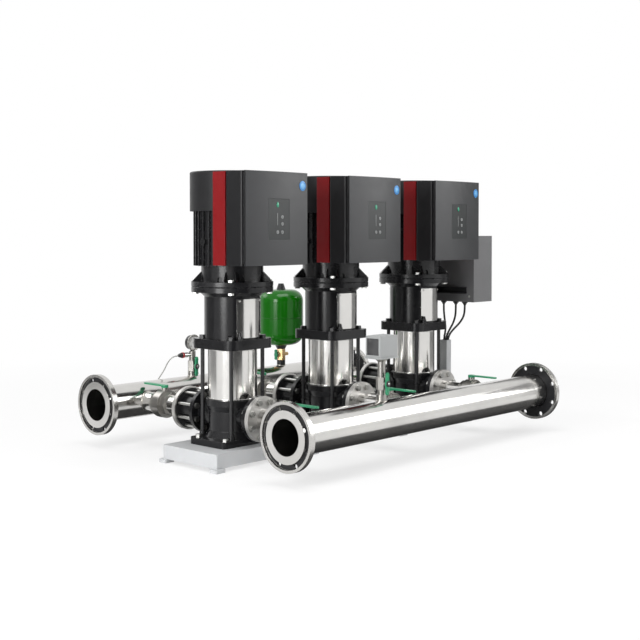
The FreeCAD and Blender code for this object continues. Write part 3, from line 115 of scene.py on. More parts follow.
class Finish(Nodes):
    """a material made from noise, edges and height in the piece's own coordinates"""

    def __init__(self, name, **sockets):
        self.material = bpy.data.materials.new(name)
        self.material.use_nodes = True
        super().__init__(self.material.node_tree)
        self.shader = self.tree.nodes["Principled BSDF"]
        self.coordinates = self.add("ShaderNodeTexCoord").outputs["Object"]
        for socket, value in sockets.items():
            self.shader.inputs[socket.replace("_", " ")].default_value = value

    def link(self, output, socket):
        self.tree.links.new(output, self.shader.inputs[socket])

    def noise(self, scale, detail=4.0, stretch=(1, 1, 1)):
        spread = self.add("ShaderNodeMapping", {"Vector": self.coordinates, "Scale": stretch}).outputs[0]
        return self.add("ShaderNodeTexNoise", {"Vector": spread, "Scale": scale, "Detail": detail,
                                               "Roughness": 0.55}).outputs[0]

    def between(self, factor, low, high, start=0.3, end=0.7):
        """from low to high while the factor goes from start to end"""
        return self.add("ShaderNodeMapRange", {"Value": factor, "From Min": start, "From Max": end,
                                               "To Min": low, "To Max": high}).outputs[0]

    def mix(self, factor, first, second):
        return self.add("ShaderNodeMix", {0: factor, 6: first, 7: second}, data_type="RGBA").outputs[2]

    def place(self, axis):
        """the X, Y or Z of the point, in metres"""
        return self.add("ShaderNodeSeparateXYZ", {0: self.coordinates}).outputs["XYZ".index(axis)]

    def more_than(self, value, limit, soft=0.0004):
        """0 below the limit and 1 above it, with a soft step between"""
        return self.between(value, 0.0, 1.0, limit - soft, limit + soft)

    def from_axis(self, first, second):
        """the distance that has these two parts"""
        squares = [self.math("MULTIPLY", part, part) for part in (first, second)]
        return self.math("SQRT", self.math("ADD", *squares))

    def face_normal(self):
        return self.add("ShaderNodeNewGeometry").outputs["Normal"]

    def rounded(self, radius):
        """the normal as if the edges were rounded"""
        return self.add("ShaderNodeBevel", {"Radius": radius}, samples=4).outputs[0]

    def edges(self, rounded):
        """1 along sharp edges, 0 on the faces"""
        normals = {0: rounded, 1: self.face_normal()}
        facing = self.add("ShaderNodeVectorMath", normals, operation="DOT_PRODUCT").outputs["Value"]
        return self.between(facing, 1.0, 0.0, 0.9, 0.995)

    def bump(self, height, strength, distance, normal):
        return self.add("ShaderNodeBump", {"Height": height, "Strength": strength, "Distance": distance,
                                           "Normal": normal}).outputs[0]


def shade(colour, factor):
    return tuple(min(channel * factor, 1.0) for channel in colour) + (1.0,)


def coated(name, colour, roughness, mottle=0.15, grain=0.25, grain_scale=700.0, waves=0.0, edge=None,
           edge_radius=0.0014, dust=0.0, **sockets):
    """paint, powder coat or moulded plastic, with scuffed edges and settled dust where asked for"""
    made = Finish(name, **sockets)
    patches = made.noise(7.0, 5.0)
    tint = made.mix(made.between(patches, 0.0, 1.0), shade(colour, 1 - mottle), shade(colour, 1 + mottle))
    corner = made.rounded(edge_radius) if edge_radius else made.face_normal()
    if edge:
        scuffs = made.between(made.noise(60.0, 6.0), 0.0, 1.0, 0.45, 0.62)
        tint = made.mix(made.math("MULTIPLY", made.edges(corner), scuffs), tint, edge + (1.0,))
    if dust:
        up = made.add("ShaderNodeSeparateXYZ", {0: made.face_normal()}).outputs["Z"]
        level = made.between(up, 0.0, dust, 0.75, 1.0)
        tint = made.mix(made.math("MULTIPLY", level, made.between(patches, 0.3, 1.0)), tint, DUST)
    made.link(tint, "Base Color")
    made.link(made.between(made.noise(25.0, 5.0), *roughness), "Roughness")
    normal = made.bump(made.noise(grain_scale, 2.0), grain, GRAIN_DEPTH, corner)
    if waves:
        cast_depth = 0.0012
        normal = made.bump(made.noise(90.0, 3.0), waves, cast_depth, normal)
    made.link(normal, "Normal")
    return made.material


def bare_metal(name, colour, roughness, streak, streak_scale, streak_depth, tarnish=0.06):
    """polished, drawn or turned metal, whose marks the streak squeezes along X, Y and Z"""
    made = Finish(name, Metallic=1.0)
    cloud = made.between(made.noise(5.0, 5.0), 0.0, 1.0)
    made.link(made.mix(cloud, shade(colour, 1 - tarnish), shade(colour, 1 + tarnish)), "Base Color")
    marks = made.noise(streak_scale, 3.0, streak)
    smudges = made.noise(12.0, 6.0)
    smear = made.math("ADD", made.math("MULTIPLY", marks, 0.5), made.math("MULTIPLY", smudges, 0.5))
    made.link(made.between(smear, *roughness, 0.35, 0.65), "Roughness")
    made.link(made.bump(marks, streak_depth, MARK_DEPTH, made.rounded(MACHINED_EDGE)), "Normal")
    return made.material


def steel_and_black(name, mask_of, roughness, grain):
    """one node whose machined steel and black meet along a line; on the loose flanges the black is painted
    dark reflection and shade
    """
    made = Finish(name, Specular_IOR_Level=0.2)
    steel = mask_of(made)
    patches = made.between(made.noise(9.0, 5.0), 0.0, 1.0)
    # the black: painted dark reflection and shade on the loose flanges, and black on the discharge side of
    # the port flanges
    paint = made.mix(patches, (0.014, 0.014, 0.015, 1), (0.024, 0.024, 0.026, 1))
    metal = made.mix(patches, (0.52, 0.51, 0.49, 1), (0.6, 0.59, 0.57, 1))
    made.link(made.mix(steel, paint, metal), "Base Color")
    made.link(steel, "Metallic")
    duller_black = made.math("MULTIPLY", made.math("SUBTRACT", 1.0, steel), 0.1)
    made.link(made.math("ADD", made.between(made.noise(26.0, 6.0), *roughness), duller_black), "Roughness")
    made.link(made.bump(made.noise(500.0, 3.0), grain, GRAIN_DEPTH, made.rounded(MACHINED_EDGE)), "Normal")
    return made.material


def loose_rim(made):
    """the bright rim of the loose flanges, round the axis of either manifold; inside it the black is painted
    dark reflection and shade
    """
    middle = (DISCHARGE_Y + SUCTION_Y) / 2
    reach = (DISCHARGE_Y - SUCTION_Y) / 2
    from_middle = made.math("ABSOLUTE", made.math("SUBTRACT", made.place("Y"), middle))
    across = made.math("SUBTRACT", from_middle, reach)
    up = made.math("SUBTRACT", made.place("Z"), PORT_HEIGHT)
    return made.more_than(made.from_axis(across, up), LOOSE_RIM)


def port_rim(made):
    """steel all over on the suction side, and on the rim alone on the discharge side"""
    nearest = made.math("ROUND", made.math("DIVIDE", made.place("X"), PUMP_PITCH))
    along = made.math("SUBTRACT", made.place("X"), made.math("MULTIPLY", nearest, PUMP_PITCH))
    up = made.math("SUBTRACT", made.place("Z"), PORT_HEIGHT)
    suction = made.more_than(made.math("MULTIPLY", made.place("Y"), -1.0), 0.0)
    return made.math("MAXIMUM", suction, made.more_than(made.from_axis(along, up), PORT_RIM))


def shaded_stand_top(made):
    """the upper part of the cabinet's stand, painted black there as painted shade"""
    return made.more_than(made.place("Z"), STAND_GREY_TOP)


def lit_cover_front(made):
    """the faces of the converters' covers that look to the suction side, which are painted lighter as
    painted light
    """
    facing = made.add("ShaderNodeTexCoord").outputs["Normal"]
    forward = made.math("MULTIPLY", made.add("ShaderNodeSeparateXYZ", {0: facing}).outputs["Y"], -1.0)
    return made.more_than(forward, 0.9, 0.05)


def paint_and_painted_light(name, first, second, second_where, roughness=(0.34, 0.44)):
    """paint of two colours on one node, the second where the mask is 1, which paints light and shade on it
    """
    edge_radius = 0.003
    made = Finish(name, Specular_IOR_Level=0.32)
    tint = made.mix(second_where(made), first + (1,), second + (1,))
    patches = made.between(made.noise(6.0, 5.0), 0.92, 1.08)
    mottled = made.add("ShaderNodeVectorMath", {0: tint, "Scale": patches}, operation="SCALE")
    made.link(mottled.outputs[0], "Base Color")
    made.link(made.between(made.noise(25.0, 5.0), *roughness), "Roughness")
    made.link(made.bump(made.noise(1400.0, 2.0), 0.3, GRAIN_DEPTH, made.rounded(edge_radius)), "Normal")
    return made.material


BLACK_CAST = coated("black_cast", (0.009, 0.009, 0.01), (0.16, 0.28), grain=0.15, waves=0.1,
                    edge=(0.12, 0.12, 0.12), edge_radius=0.002, dust=0.03, Specular_IOR_Level=0.32)
BLACK_MOTOR = coated("black_motor", (0.009, 0.009, 0.01), (0.2, 0.3), grain=0.12, waves=0.05,
                     edge=(0.1, 0.1, 0.1), dust=0.02, Specular_IOR_Level=0.36)
BLACK_SHEET = coated("black_sheet", (0.012, 0.012, 0.013), (0.4, 0.5), grain=0.12, grain_scale=1800.0,
                     edge=(0.1, 0.1, 0.1), dust=0.02, Specular_IOR_Level=0.22)
BLACK_STEEL = coated("black_steel", (0.012, 0.012, 0.013), (0.25, 0.36), mottle=0.12, grain=0.15,
                     edge=(0.2, 0.2, 0.2))
GREY_PAINT = coated("grey_paint", (0.56, 0.57, 0.58), (0.38, 0.5), mottle=0.05, grain=0.2,
                    edge=(0.36, 0.36, 0.36), dust=0.05)
# the stand's grey paint, painted black above STAND_GREY_TOP as painted shade
STAND_PAINT_AND_SHADE = paint_and_painted_light("stand_paint_and_shade", (0.5, 0.51, 0.52), (0.012, 0.012, 0.013), shaded_stand_top)
# the loose flanges' webs are black as painted dark reflection and shade, within a steel rim
LOOSE_FLANGE = steel_and_black("loose_flange", loose_rim, (0.2, 0.3), 0.06)
PORT_FLANGE = steel_and_black("port_flange", port_rim, (0.38, 0.48), 0.04)
DRIVE_DARK = coated("drive_dark", (0.006, 0.006, 0.007), (0.34, 0.44), mottle=0.07, grain_scale=1400.0,
                    edge=(0.06, 0.06, 0.06), edge_radius=0.003, Specular_IOR_Level=0.28)
# the covers' front faces are painted lighter than their other faces, as painted light on the lit front
COVER_DARK = paint_and_painted_light("cover_dark", (0.006, 0.006, 0.007), (0.036, 0.037, 0.039), lit_cover_front, (0.3, 0.38))
RED_TRIM = coated("red_trim", (0.19, 0.002, 0.004), (0.3, 0.4), mottle=0.08, grain=0.15, edge_radius=0.003,
                  Specular_IOR_Level=0.3)
PANEL_DARK = coated("panel_dark", (0.018, 0.021, 0.021), (0.28, 0.36), mottle=0.04, grain=0.1,
                    edge_radius=0.0, Specular_IOR_Level=0.3)
LEVER_GREEN = coated("lever_green", (0.02, 0.26, 0.12), (0.3, 0.42), mottle=0.1, grain=0.15,
                     edge=(0.1, 0.4, 0.24))
TANK_GREEN = coated("tank_green", (0.005, 0.125, 0.002), (0.12, 0.18), mottle=0.04, grain=0.03,
                    Specular_IOR_Level=0.3)
CABINET_GREY = coated("cabinet_grey", (0.13, 0.13, 0.133), (0.4, 0.52), mottle=0.05, grain=0.45,
                      grain_scale=500.0, edge=(0.3, 0.3, 0.3), dust=0.06)
SWITCH_GREY = coated("switch_grey", (0.36, 0.37, 0.37), (0.35, 0.48), mottle=0.04, grain=0.2)
MOULDED_BLACK = coated("moulded_black", (0.014, 0.014, 0.014), (0.4, 0.55), mottle=0.1, grain=0.3)
MOULDED_RED = coated("moulded_red", (0.4, 0.02, 0.02), (0.35, 0.45), mottle=0.08, grain=0.2)
CABLE_BLACK = coated("cable_black", (0.014, 0.014, 0.014), (0.45, 0.6), mottle=0.1, grain=0.3)
CABLE_GREY = coated("cable_grey", (0.42, 0.42, 0.4), (0.45, 0.6), mottle=0.08, grain=0.2)
DIAL_WHITE = coated("dial_white", (0.75, 0.75, 0.73), (0.4, 0.5), mottle=0.02, grain=0.05)
KEY_DARK = coated("key_dark", (0.14, 0.145, 0.145), (0.4, 0.5), mottle=0.03)
KEY_LIGHT = coated("key_light", (0.4, 0.41, 0.41), (0.4, 0.5), mottle=0.03)
LAMP_GREEN = coated("lamp_green", (0.03, 0.28, 0.16), (0.2, 0.3), mottle=0.03)
SPOT_BLUE = coated("spot_blue", (0.03, 0.24, 0.6), (0.25, 0.35), mottle=0.04)
SPOT_PALE = coated("spot_pale", (0.14, 0.42, 0.74), (0.25, 0.35), mottle=0.04)
PANE_DARK = coated("pane_dark", (0.06, 0.06, 0.062), (0.12, 0.2), mottle=0.03, grain=0.05)
STEEL_ROUND = bare_metal("steel_round", (0.7, 0.69, 0.67), (0.1, 0.2), (60.0, 60.0, 1.0), 12.0, 0.05)
STEEL_LONG = bare_metal("steel_long", (0.62, 0.61, 0.59), (0.12, 0.22), (1.0, 40.0, 40.0), 14.0, 0.03)
WELD = bare_metal("weld", (0.6, 0.57, 0.52), (0.25, 0.4), (1, 1, 1), 420.0, 0.6, 0.16)
ZINC = bare_metal("zinc", (0.5, 0.5, 0.48), (0.22, 0.38), (1, 1, 1), 300.0, 0.1, 0.1)
SCREW = bare_metal("screw", (0.5, 0.5, 0.48), (0.25, 0.4), (1, 1, 1), 300.0, 0.1, 0.1)
BRASS = bare_metal("brass", (0.72, 0.5, 0.26), (0.2, 0.36), (1, 1, 1), 160.0, 0.15, 0.15)
# nickel made darker than its own colour, as painted shade on the valves, the risers and the gauge rim
NICKEL_AND_SHADE = bare_metal("nickel", (0.36, 0.35, 0.33), (0.26, 0.36), (1, 1, 1), 160.0, 0.015)
COPPER_CORE = bare_metal("copper_core", (0.45, 0.36, 0.3), (0.3, 0.45), (1, 1, 30), 60.0, 0.2, 0.2)

# The finish of each node, by the start of its name; the first row that fits is used
FINISHES = [
    ("base_tray", GREY_PAINT), ("base_rails_and_feet", GREY_PAINT), ("cabinet_stand", STAND_PAINT_AND_SHADE),
    ("pump_base", BLACK_CAST), ("pump_heads", BLACK_CAST), ("motor_stool", BLACK_CAST),
    ("pump_sleeves", STEEL_ROUND), ("coupling_guards", STEEL_ROUND), ("stage_chambers", STEEL_ROUND),
    ("stay_bolts", BLACK_STEEL), ("pump_rotor", COPPER_CORE), ("stators", COPPER_CORE),
    ("motor_frame", BLACK_MOTOR), ("fan_covers", BLACK_SHEET), ("motor_and_foot_bolts", ZINC),
    ("drive_housings", DRIVE_DARK), ("drive_trims", RED_TRIM), ("drive_covers", COVER_DARK),
    ("control_panels", PANEL_DARK), ("port_flanges", PORT_FLANGE), ("port_studs", ZINC),
    ("isolating_valves", NICKEL_AND_SHADE), ("suction_lever", LEVER_GREEN), ("discharge_lever", LEVER_GREEN),
    ("check_valves", BLACK_CAST), ("check_flap", STEEL_ROUND), ("suction_manifold", STEEL_LONG),
    ("discharge_manifold", STEEL_LONG), ("manifold_flanges", LOOSE_FLANGE), ("diaphragm_tank", TANK_GREEN),
    ("tank_fittings", BLACK_STEEL), ("tank_valve_lever", LEVER_GREEN), ("tank_valve", BRASS),
    ("suction_riser", NICKEL_AND_SHADE), ("discharge_riser", NICKEL_AND_SHADE), ("suction_cock_handle", LEVER_GREEN),
    ("discharge_cock_handle", LEVER_GREEN), ("pressure_switch", SWITCH_GREY),
    ("pressure_gauge", MOULDED_BLACK), ("gauge_pointer", MOULDED_BLACK), ("pressure_sender", STEEL_ROUND),
    ("cabinet_body", CABINET_GREY), ("cabinet_door", CABINET_GREY), ("cable_glands", MOULDED_BLACK),
    ("cabinet_cables", CABLE_BLACK), ("sensor_cable", CABLE_GREY),
]


def dress_nodes():
    for name, node in NODES.items():
        finish = next(material for start, material in FINISHES if name.startswith(start))
        node.data.materials.clear()
        node.data.materials.append(finish)


# Ways to make pieces

def moved(x, y, z):
    return Matrix.Translation((x, y, z))


def angles(count):
    """a full turn in equal steps"""
    return [math.tau * step / count for step in range(count)]


def from_bmesh(name, work, smooth=True):
    bmesh.ops.recalc_face_normals(work, faces=work.faces)
    made = bpy.data.meshes.new(name)
    work.to_mesh(made)
    work.free()
    if smooth:
        made.shade_smooth()
    return made


def turned_mesh(name, profile, place, sides):
    """a mesh turned about Z from (radius, height) points, then placed; a ring where they come back round"""
    same_place = 1e-7
    work = bmesh.new()
    rings = []
    for radius, height in profile:
        rings.append([work.verts.new((radius * math.cos(angle), radius * math.sin(angle), height))
                      for angle in angles(sides)])
    for first, second in zip(rings, rings[1:]):
        for step in range(sides):
            after = (step + 1) % sides
            work.faces.new((first[step], first[after], second[after], second[step]))
    if profile[0] != profile[-1]:
        work.faces.new(rings[0])
        work.faces.new(rings[-1])
    else:
        bmesh.ops.remove_doubles(work, verts=work.verts, dist=same_place)
    work.transform(place)
    return from_bmesh(name, work)


def gathered(name, profile, places, sides):
    """one mesh of the same turned shape at several places"""
    work = bmesh.new()
    for place in places:
        part = turned_mesh(name, profile, place, sides)
        work.from_mesh(part)
        bpy.data.meshes.remove(part)
    return from_bmesh(name, work)


def disc_profile(radius, thickness):
    """a disc with both edges broken"""
    flat = radius * 0.86
    return [(flat, 0.0), (radius, thickness * 0.25), (radius, thickness * 0.7), (flat, thickness)]


def ring_profile(outer, inner, thickness):
    """a ring with its upper edges broken"""
    edge = (outer - inner) * 0.2
    return [(inner, 0.0), (outer, 0.0), (outer, thickness - edge), (outer - edge, thickness),
            (inner + edge, thickness), (inner, thickness - edge), (inner, 0.0)]


def soft_box(name, low, high, bevel):
    """a box between two corners with rounded edges"""
    work = bmesh.new()
    size = Vector(high) - Vector(low)
    middle = (Vector(high) + Vector(low)) / 2
    bmesh.ops.create_cube(work, size=1.0)
    work.transform(Matrix.Translation(middle) @ Matrix.Diagonal((*size, 1)))
    bmesh.ops.bevel(work, geom=work.edges, offset=bevel, segments=2, affect="EDGES", profile=0.5)
    return from_bmesh(name, work)


def lobed_bar(half_length, half_width, thickness, place):
    """a flat handle with a waved outline and rounded edges, lying in XY along Y"""
    lobes = 8
    wave = 0.16
    work = bmesh.new()
    outline = []
    for angle in angles(96):
        along = math.cos(angle)
        across = math.sin(angle)
        swell = 1 + wave * math.cos(lobes * angle)
        outline.append(work.verts.new((half_width * swell * math.copysign(abs(across) ** 0.5, across),
                                       half_length * math.copysign(abs(along) ** 0.8, along), 0.0)))
    face = work.faces.new(outline)
    raised = bmesh.ops.extrude_face_region(work, geom=[face])
    tops = [item for item in raised["geom"] if isinstance(item, bmesh.types.BMVert)]
    bmesh.ops.translate(work, verts=tops, vec=(0, 0, thickness))
    rims = [edge for edge in work.edges if len(edge.link_faces) == 2
            and any(len(side.verts) > 4 for side in edge.link_faces)]
    bmesh.ops.bevel(work, geom=rims, offset=thickness * 0.22, segments=3, affect="EDGES", profile=0.5)
    work.transform(place)
    return from_bmesh("grip", work)


def add_piece(name, mesh_data, material, body=STATIC):
    made = bpy.data.objects.new(name, mesh_data)
    scene.collection.objects.link(made)
    mesh_data.materials.append(material)
    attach(made, body)


def cord_curve(name, kind, points, radius, material):
    """a curve of one spline along points, with a round section, and the spline"""
    data = bpy.data.curves.new(name, "CURVE")
    data.dimensions = "3D"
    data.bevel_depth = radius
    data.materials.append(material)
    spline = data.splines.new(kind)
    spline.points.add(len(points) - 1)
    for point, place in zip(spline.points, points):
        point.co = (*place, 1.0)
    return data, spline


def add_bead(name, points, radius, material):
    """a round bead or strap along a closed line"""
    data, spline = cord_curve(name, "POLY", points, radius, material)
    data.bevel_resolution = 3
    spline.use_cyclic_u = True
    spline.use_smooth = True
    made = bpy.data.objects.new(name, data)
    scene.collection.objects.link(made)
    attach(made, STATIC)


# Camera, fitted to the edges in the photograph; the tilt is down and the turn to the right, in degrees
IMAGE = 640
FOCAL_PIXELS = 1131.8
CENTRE_ROW = 263.9
CAMERA_PLACE = (-4.0662, -3.7062, 1.0115)
CAMERA_TILT = 1.6
CAMERA_TURN = 47.1


def add_camera():
    data = bpy.data.cameras.new("camera")
    data.sensor_width = 36.0
    data.lens = FOCAL_PIXELS * data.sensor_width / IMAGE
    data.shift_y = (CENTRE_ROW - IMAGE / 2) / IMAGE
    data.clip_end = 60.0
    made = bpy.data.objects.new("camera", data)
    made.location = CAMERA_PLACE
    made.rotation_euler = (math.radians(90 - CAMERA_TILT), 0.0, math.radians(-CAMERA_TURN))
    scene.collection.objects.link(made)
    scene.camera = made


# Studio: the name, place, target, size and watts of each lamp
LAMPS = (
    ("key", (-5.0, -0.9, 1.6), (-0.6, 0, 0.7), (1.7, 2.6), 150),
    ("side", (4.2, -4.0, 2.6), (0, 0, 0.7), (3.4, 2.8), 150),
    ("top", (-0.5, -1.0, 5.0), (0, 0, 0), (3.5, 2.5), 135),
    ("back", (-1.5, 5.0, 3.6), (0, 0, 0.6), (3.0, 2.0), 50),
)

# Boards that stand round the set and are seen in polished faces alone, as painted dark reflections: name,
# middle and spread in degrees, height and grey
STANDING_BOARDS = (
    ("flag_front", 240.0, 40.0, 2.4, 0.05),
    ("flag_right", 350.0, 50.0, 1.6, 0.25),
    ("flag_left", 133.0, 45.0, 1.6, 0.4),
)
BOARD_DISTANCE = 3.0

# Boards that lie under the manifolds and are seen in polished faces alone, as painted dark reflections:
# name, low and high Y
LYING_BOARDS = (
    ("flag_suction", -0.86, -0.3),
    ("flag_discharge", 0.42, 0.74),
)
LYING_LOW_X = -0.9
LYING_HIGH_X = 1.6
LYING_GREY = 0.08


def add_lamp(name, place, target, size, power):
    data = bpy.data.lights.new(name, "AREA")
    data.shape = "RECTANGLE"
    data.size, data.size_y = size
    data.energy = power
    made = bpy.data.objects.new(name, data)
    made.location = place
    made.rotation_euler = (Vector(target) - Vector(place)).to_track_quat("-Z", "Y").to_euler()
    scene.collection.objects.link(made)


def add_world():
    """white for the camera and in polished faces, and a soft light, stronger from above, for all else"""
    world = bpy.data.worlds.new("studio")
    scene.world = world
    world.use_nodes = True
    world.node_tree.nodes.clear()
    nodes = Nodes(world.node_tree)
    direction = nodes.add("ShaderNodeTexCoord").outputs["Generated"]
    up = nodes.add("ShaderNodeSeparateXYZ", {0: direction}).outputs["Z"]
    height = nodes.add("ShaderNodeMath", {0: up, 1: 0.5, 2: 0.5}, operation="MULTIPLY_ADD").outputs[0]
    ramp = nodes.add("ShaderNodeValToRGB", {0: height})
    lower, upper = ramp.color_ramp.elements
    lower.position = 0.47
    lower.color = (0.3, 0.3, 0.31, 1)
    upper.position = 0.8
    upper.color = WHITE
    around = nodes.add("ShaderNodeBackground", {0: ramp.outputs[0], 1: 0.4}).outputs[0]
    shown = nodes.add("ShaderNodeBackground", {0: WHITE}).outputs[0]
    mixed = nodes.add("ShaderNodeMixShader", {0: nodes.seen_directly(), 1: around, 2: shown}).outputs[0]
    nodes.add("ShaderNodeOutputWorld", {0: mixed})


def add_floor():
    """a pale round floor that fades into the white behind it"""
    radius = 14.0
    drop = 0.0005
    fade_start = 1.2
    fade_end = 4.0
    made = Finish("floor_white", Base_Color=(0.92, 0.92, 0.92, 1), Roughness=0.6, Specular_IOR_Level=0.2)
    distance = made.add("ShaderNodeVectorMath", {0: made.coordinates}, operation="LENGTH").outputs["Value"]
    far = made.between(distance, 0.68, 1.0, fade_start, fade_end)
    glow = made.add("ShaderNodeEmission", {"Color": WHITE, "Strength": 1.0}).outputs[0]
    share = made.math("MULTIPLY", far, made.seen_directly())
    lifted = made.add("ShaderNodeMixShader", {0: share, 1: made.shader.outputs[0], 2: glow}).outputs[0]
    made.tree.links.new(lifted, made.tree.nodes["Material Output"].inputs[0])
    work = bmesh.new()
    bmesh.ops.create_circle(work, cap_ends=True, segments=96, radius=radius)
    mesh_data = from_bmesh("floor", work, smooth=False)
    mesh_data.materials.append(made.material)
    floor = bpy.data.objects.new("floor", mesh_data)
    floor.location = (0, 0, -drop)
    scene.collection.objects.link(floor)


def standing_board(azimuth, spread, height):
    """a board that stands on an arc round the set"""
    work = bmesh.new()
    steps = 12
    lower = []
    upper = []
    for step in range(steps + 1):
        angle = math.radians(azimuth + spread * (step / steps - 0.5))
        point = (BOARD_DISTANCE * math.cos(angle), BOARD_DISTANCE * math.sin(angle))
        lower.append(work.verts.new((*point, 0.0)))
        upper.append(work.verts.new((*point, height)))
    for step in range(steps):
        work.faces.new((lower[step], lower[step + 1], upper[step + 1], upper[step]))
    return work


def lying_board(low_y, high_y):
    """a board that lies just above the floor"""
    lift = 0.0004
    work = bmesh.new()
    corners = ((LYING_LOW_X, low_y), (LYING_HIGH_X, low_y), (LYING_HIGH_X, high_y), (LYING_LOW_X, high_y))
    work.faces.new([work.verts.new((x, y, lift)) for x, y in corners])
    return work


def add_flag(name, work, grey):
    """a grey board that is seen in polished faces alone, as a painted dark reflection"""
    made = Finish(name, Roughness=1.0)
    made.link(made.mix(made.noise(1.5), shade((grey, grey, grey), 0.9), shade((grey, grey, grey), 1.0)),
              "Base Color")
    mesh_data = from_bmesh(name, work, smooth=False)
    mesh_data.materials.append(made.material)
    flag = bpy.data.objects.new(name, mesh_data)
    flag.visible_camera = False
    flag.visible_diffuse = False
    flag.visible_shadow = False
    scene.collection.objects.link(flag)


def add_studio():
    add_world()
    add_floor()
    for name, azimuth, spread, height, grey in STANDING_BOARDS:
        add_flag(name, standing_board(azimuth, spread, height), grey)
    for name, low_y, high_y in LYING_BOARDS:
        add_flag(name, lying_board(low_y, high_y), LYING_GREY)
    for lamp in LAMPS:
        add_lamp(*lamp)


# Cables
CABLE_RADIUS = 0.0055
SENSOR_RADIUS = 0.003

# Y of the three cabinet cables at their glands and at the duct, and their lengths
GLAND_ACROSS = (0.063, -0.019, -0.079)
DUCT_ACROSS = (-0.026, -0.038, -0.050)
CABLE_LENGTHS = (0.300, 0.280, 0.281)

# X of a cabinet cable, how far it has come from its gland's Y to the duct's Y, and Z
CABINET_ROUTE = (
    (1.0, 0.0, 0.615), (1.0, 0.0, 0.580), (0.991, 0.12, 0.546), (0.965, 0.4, 0.514),
    (0.928, 0.75, 0.486), (0.896, 0.95, 0.458), (0.882, 1.0, 0.420), (0.881, 1.0, 0.380),
)

# The sensor cable from its plug to the manifold, and from the manifold to the duct
SENSOR_START = [
    (-0.397, 0.675, 0.392), (-0.424, 0.675, 0.391), (-0.448, 0.677, 0.379), (-0.463, 0.685, 0.354),
    (-0.469, 0.700, 0.322), (-0.474, 0.722, 0.294), (-0.474, 0.746, 0.266), (-0.468, 0.762, 0.236),
]
SENSOR_END = [
    (0.754, 0.604, 0.110), (0.790, 0.562, 0.092), (0.809, 0.500, 0.078), (0.818, 0.430, 0.068),
    (0.822, 0.358, 0.064), (0.824, 0.288, 0.068), (0.826, 0.226, 0.079), (0.826, 0.176, 0.088),
    (0.825, 0.122, 0.083), (0.823, 0.068, 0.082), (0.822, 0.024, 0.084), (0.824, -0.006, 0.087),
    (0.832, -0.028, 0.090), (0.845, -0.038, 0.091), (0.861, -0.038, 0.091),
]


def add_cable(name, points, radius, material, node):
    data, spline = cord_curve(name, "NURBS", points, radius, material)
    data.bevel_resolution = 4
    data.resolution_u = 12
    data.use_fill_caps = True
    spline.order_u = 3
    spline.use_endpoint_u = True
    made = bpy.data.objects.new(name, data)
    scene.collection.objects.link(made)
    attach(made, STATIC)
    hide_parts(node)


def cabinet_cables():
    for index, (start, end, length) in enumerate(zip(GLAND_ACROSS, DUCT_ACROSS, CABLE_LENGTHS), 1):
        points = [(x, start + (end - start) * share, z) for x, share, z in CABINET_ROUTE]
        add_cable("cabinet_cable_%d" % index, points, CABLE_RADIUS, CABLE_BLACK, "cabinet_cables")


def sensor_cable():
    """down from its plug, along the discharge manifold while it winds part way round it, and to the duct"""
    wraps = 16
    first_x = -0.440
    step_x = 0.076
    first_angle = 8
    sweep = 123
    gap = 0.001
    wrap_radius = PIPE_RADIUS + gap + SENSOR_RADIUS
    wound = []
    for step in range(wraps):
        angle = math.radians(first_angle - sweep * step / (wraps - 1))
        wound.append((first_x + step_x * step, DISCHARGE_Y + wrap_radius * math.cos(angle),
                      PORT_HEIGHT + wrap_radius * math.sin(angle)))
    add_cable("sensor_lead", SENSOR_START + wound + SENSOR_END, SENSOR_RADIUS, CABLE_GREY, "sensor_cable")


# The frequency converters
DRIVE_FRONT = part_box("drive_covers")[0].y
COVER_BOW = 1.5
SPOT_ACROSS = 0.151
SPOT_HEIGHT = 1.213
SPOT_FACE = 0.0015
KEY_FACE = 0.0013
PANEL_LOW, PANEL_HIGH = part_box("control_panels")

# Places on a panel: across from its middle in half widths, and up from its foot in heights
LAMP_PLACE = (-0.12, 0.86)
KEY_PLACES = ((0.33, 0.56), (0.33, 0.39), (-0.13, 0.19), (0.33, 0.19))
LINE_TOP = (-0.13, 0.66)
LINE_FOOT = (-0.13, 0.36)


def on_cover(x, across, z, proud=0.0):
    """a place on the bowed front of a cover, looking out of it"""
    turn = Matrix.Rotation(across / COVER_BOW, 4, "Z")
    front = DRIVE_FRONT + COVER_BOW * (1 - math.cos(across / COVER_BOW))
    return moved(x + across, front - proud, z) @ turn @ AGAINST_Y


def on_panel(middle, place, proud=0.0):
    """a place on a control panel, looking out of it"""
    across, up = place
    half = (PANEL_HIGH.x - PANEL_LOW.x - (COLUMNS[-1] - COLUMNS[0])) / 2
    height = PANEL_HIGH.z - PANEL_LOW.z
    return moved(middle + across * half, PANEL_LOW.y - proud, PANEL_LOW.z + up * height) @ AGAINST_Y


def converter_panels():
    """an oval lamp, four keys with rings and a line on each control panel"""
    sides = 32
    oval = Matrix.Diagonal((0.62, 1.0, 1.0, 1.0))
    half_line = Vector((0.0008, 0.0004, 0))
    lamp_profile = disc_profile(radius=0.0115, thickness=0.002)
    key_profile = disc_profile(radius=0.0078, thickness=0.0014)
    key_ring = ring_profile(outer=0.0066, inner=0.0050, thickness=0.0004)
    for index, middle in enumerate(COLUMNS, 1):
        lamp = turned_mesh("panel_lamp", lamp_profile, on_panel(middle, LAMP_PLACE) @ oval, sides)
        add_piece("panel_lamp_%d" % index, lamp, LAMP_GREEN)
        at_keys = [on_panel(middle, place) for place in KEY_PLACES]
        keys = gathered("panel_keys", key_profile, at_keys, sides)
        add_piece("panel_keys_%d" % index, keys, KEY_DARK)
        on_keys = [on_panel(middle, place, KEY_FACE) for place in KEY_PLACES]
        rings = gathered("key_rings", key_ring, on_keys, sides)
        add_piece("key_rings_%d" % index, rings, KEY_LIGHT)
        foot = on_panel(middle, LINE_FOOT).translation - half_line
        top = on_panel(middle, LINE_TOP).translation + half_line
        line = soft_box("panel_line", foot, top, bevel=0.0003)
        add_piece("panel_line_%d" % index, line, KEY_LIGHT)


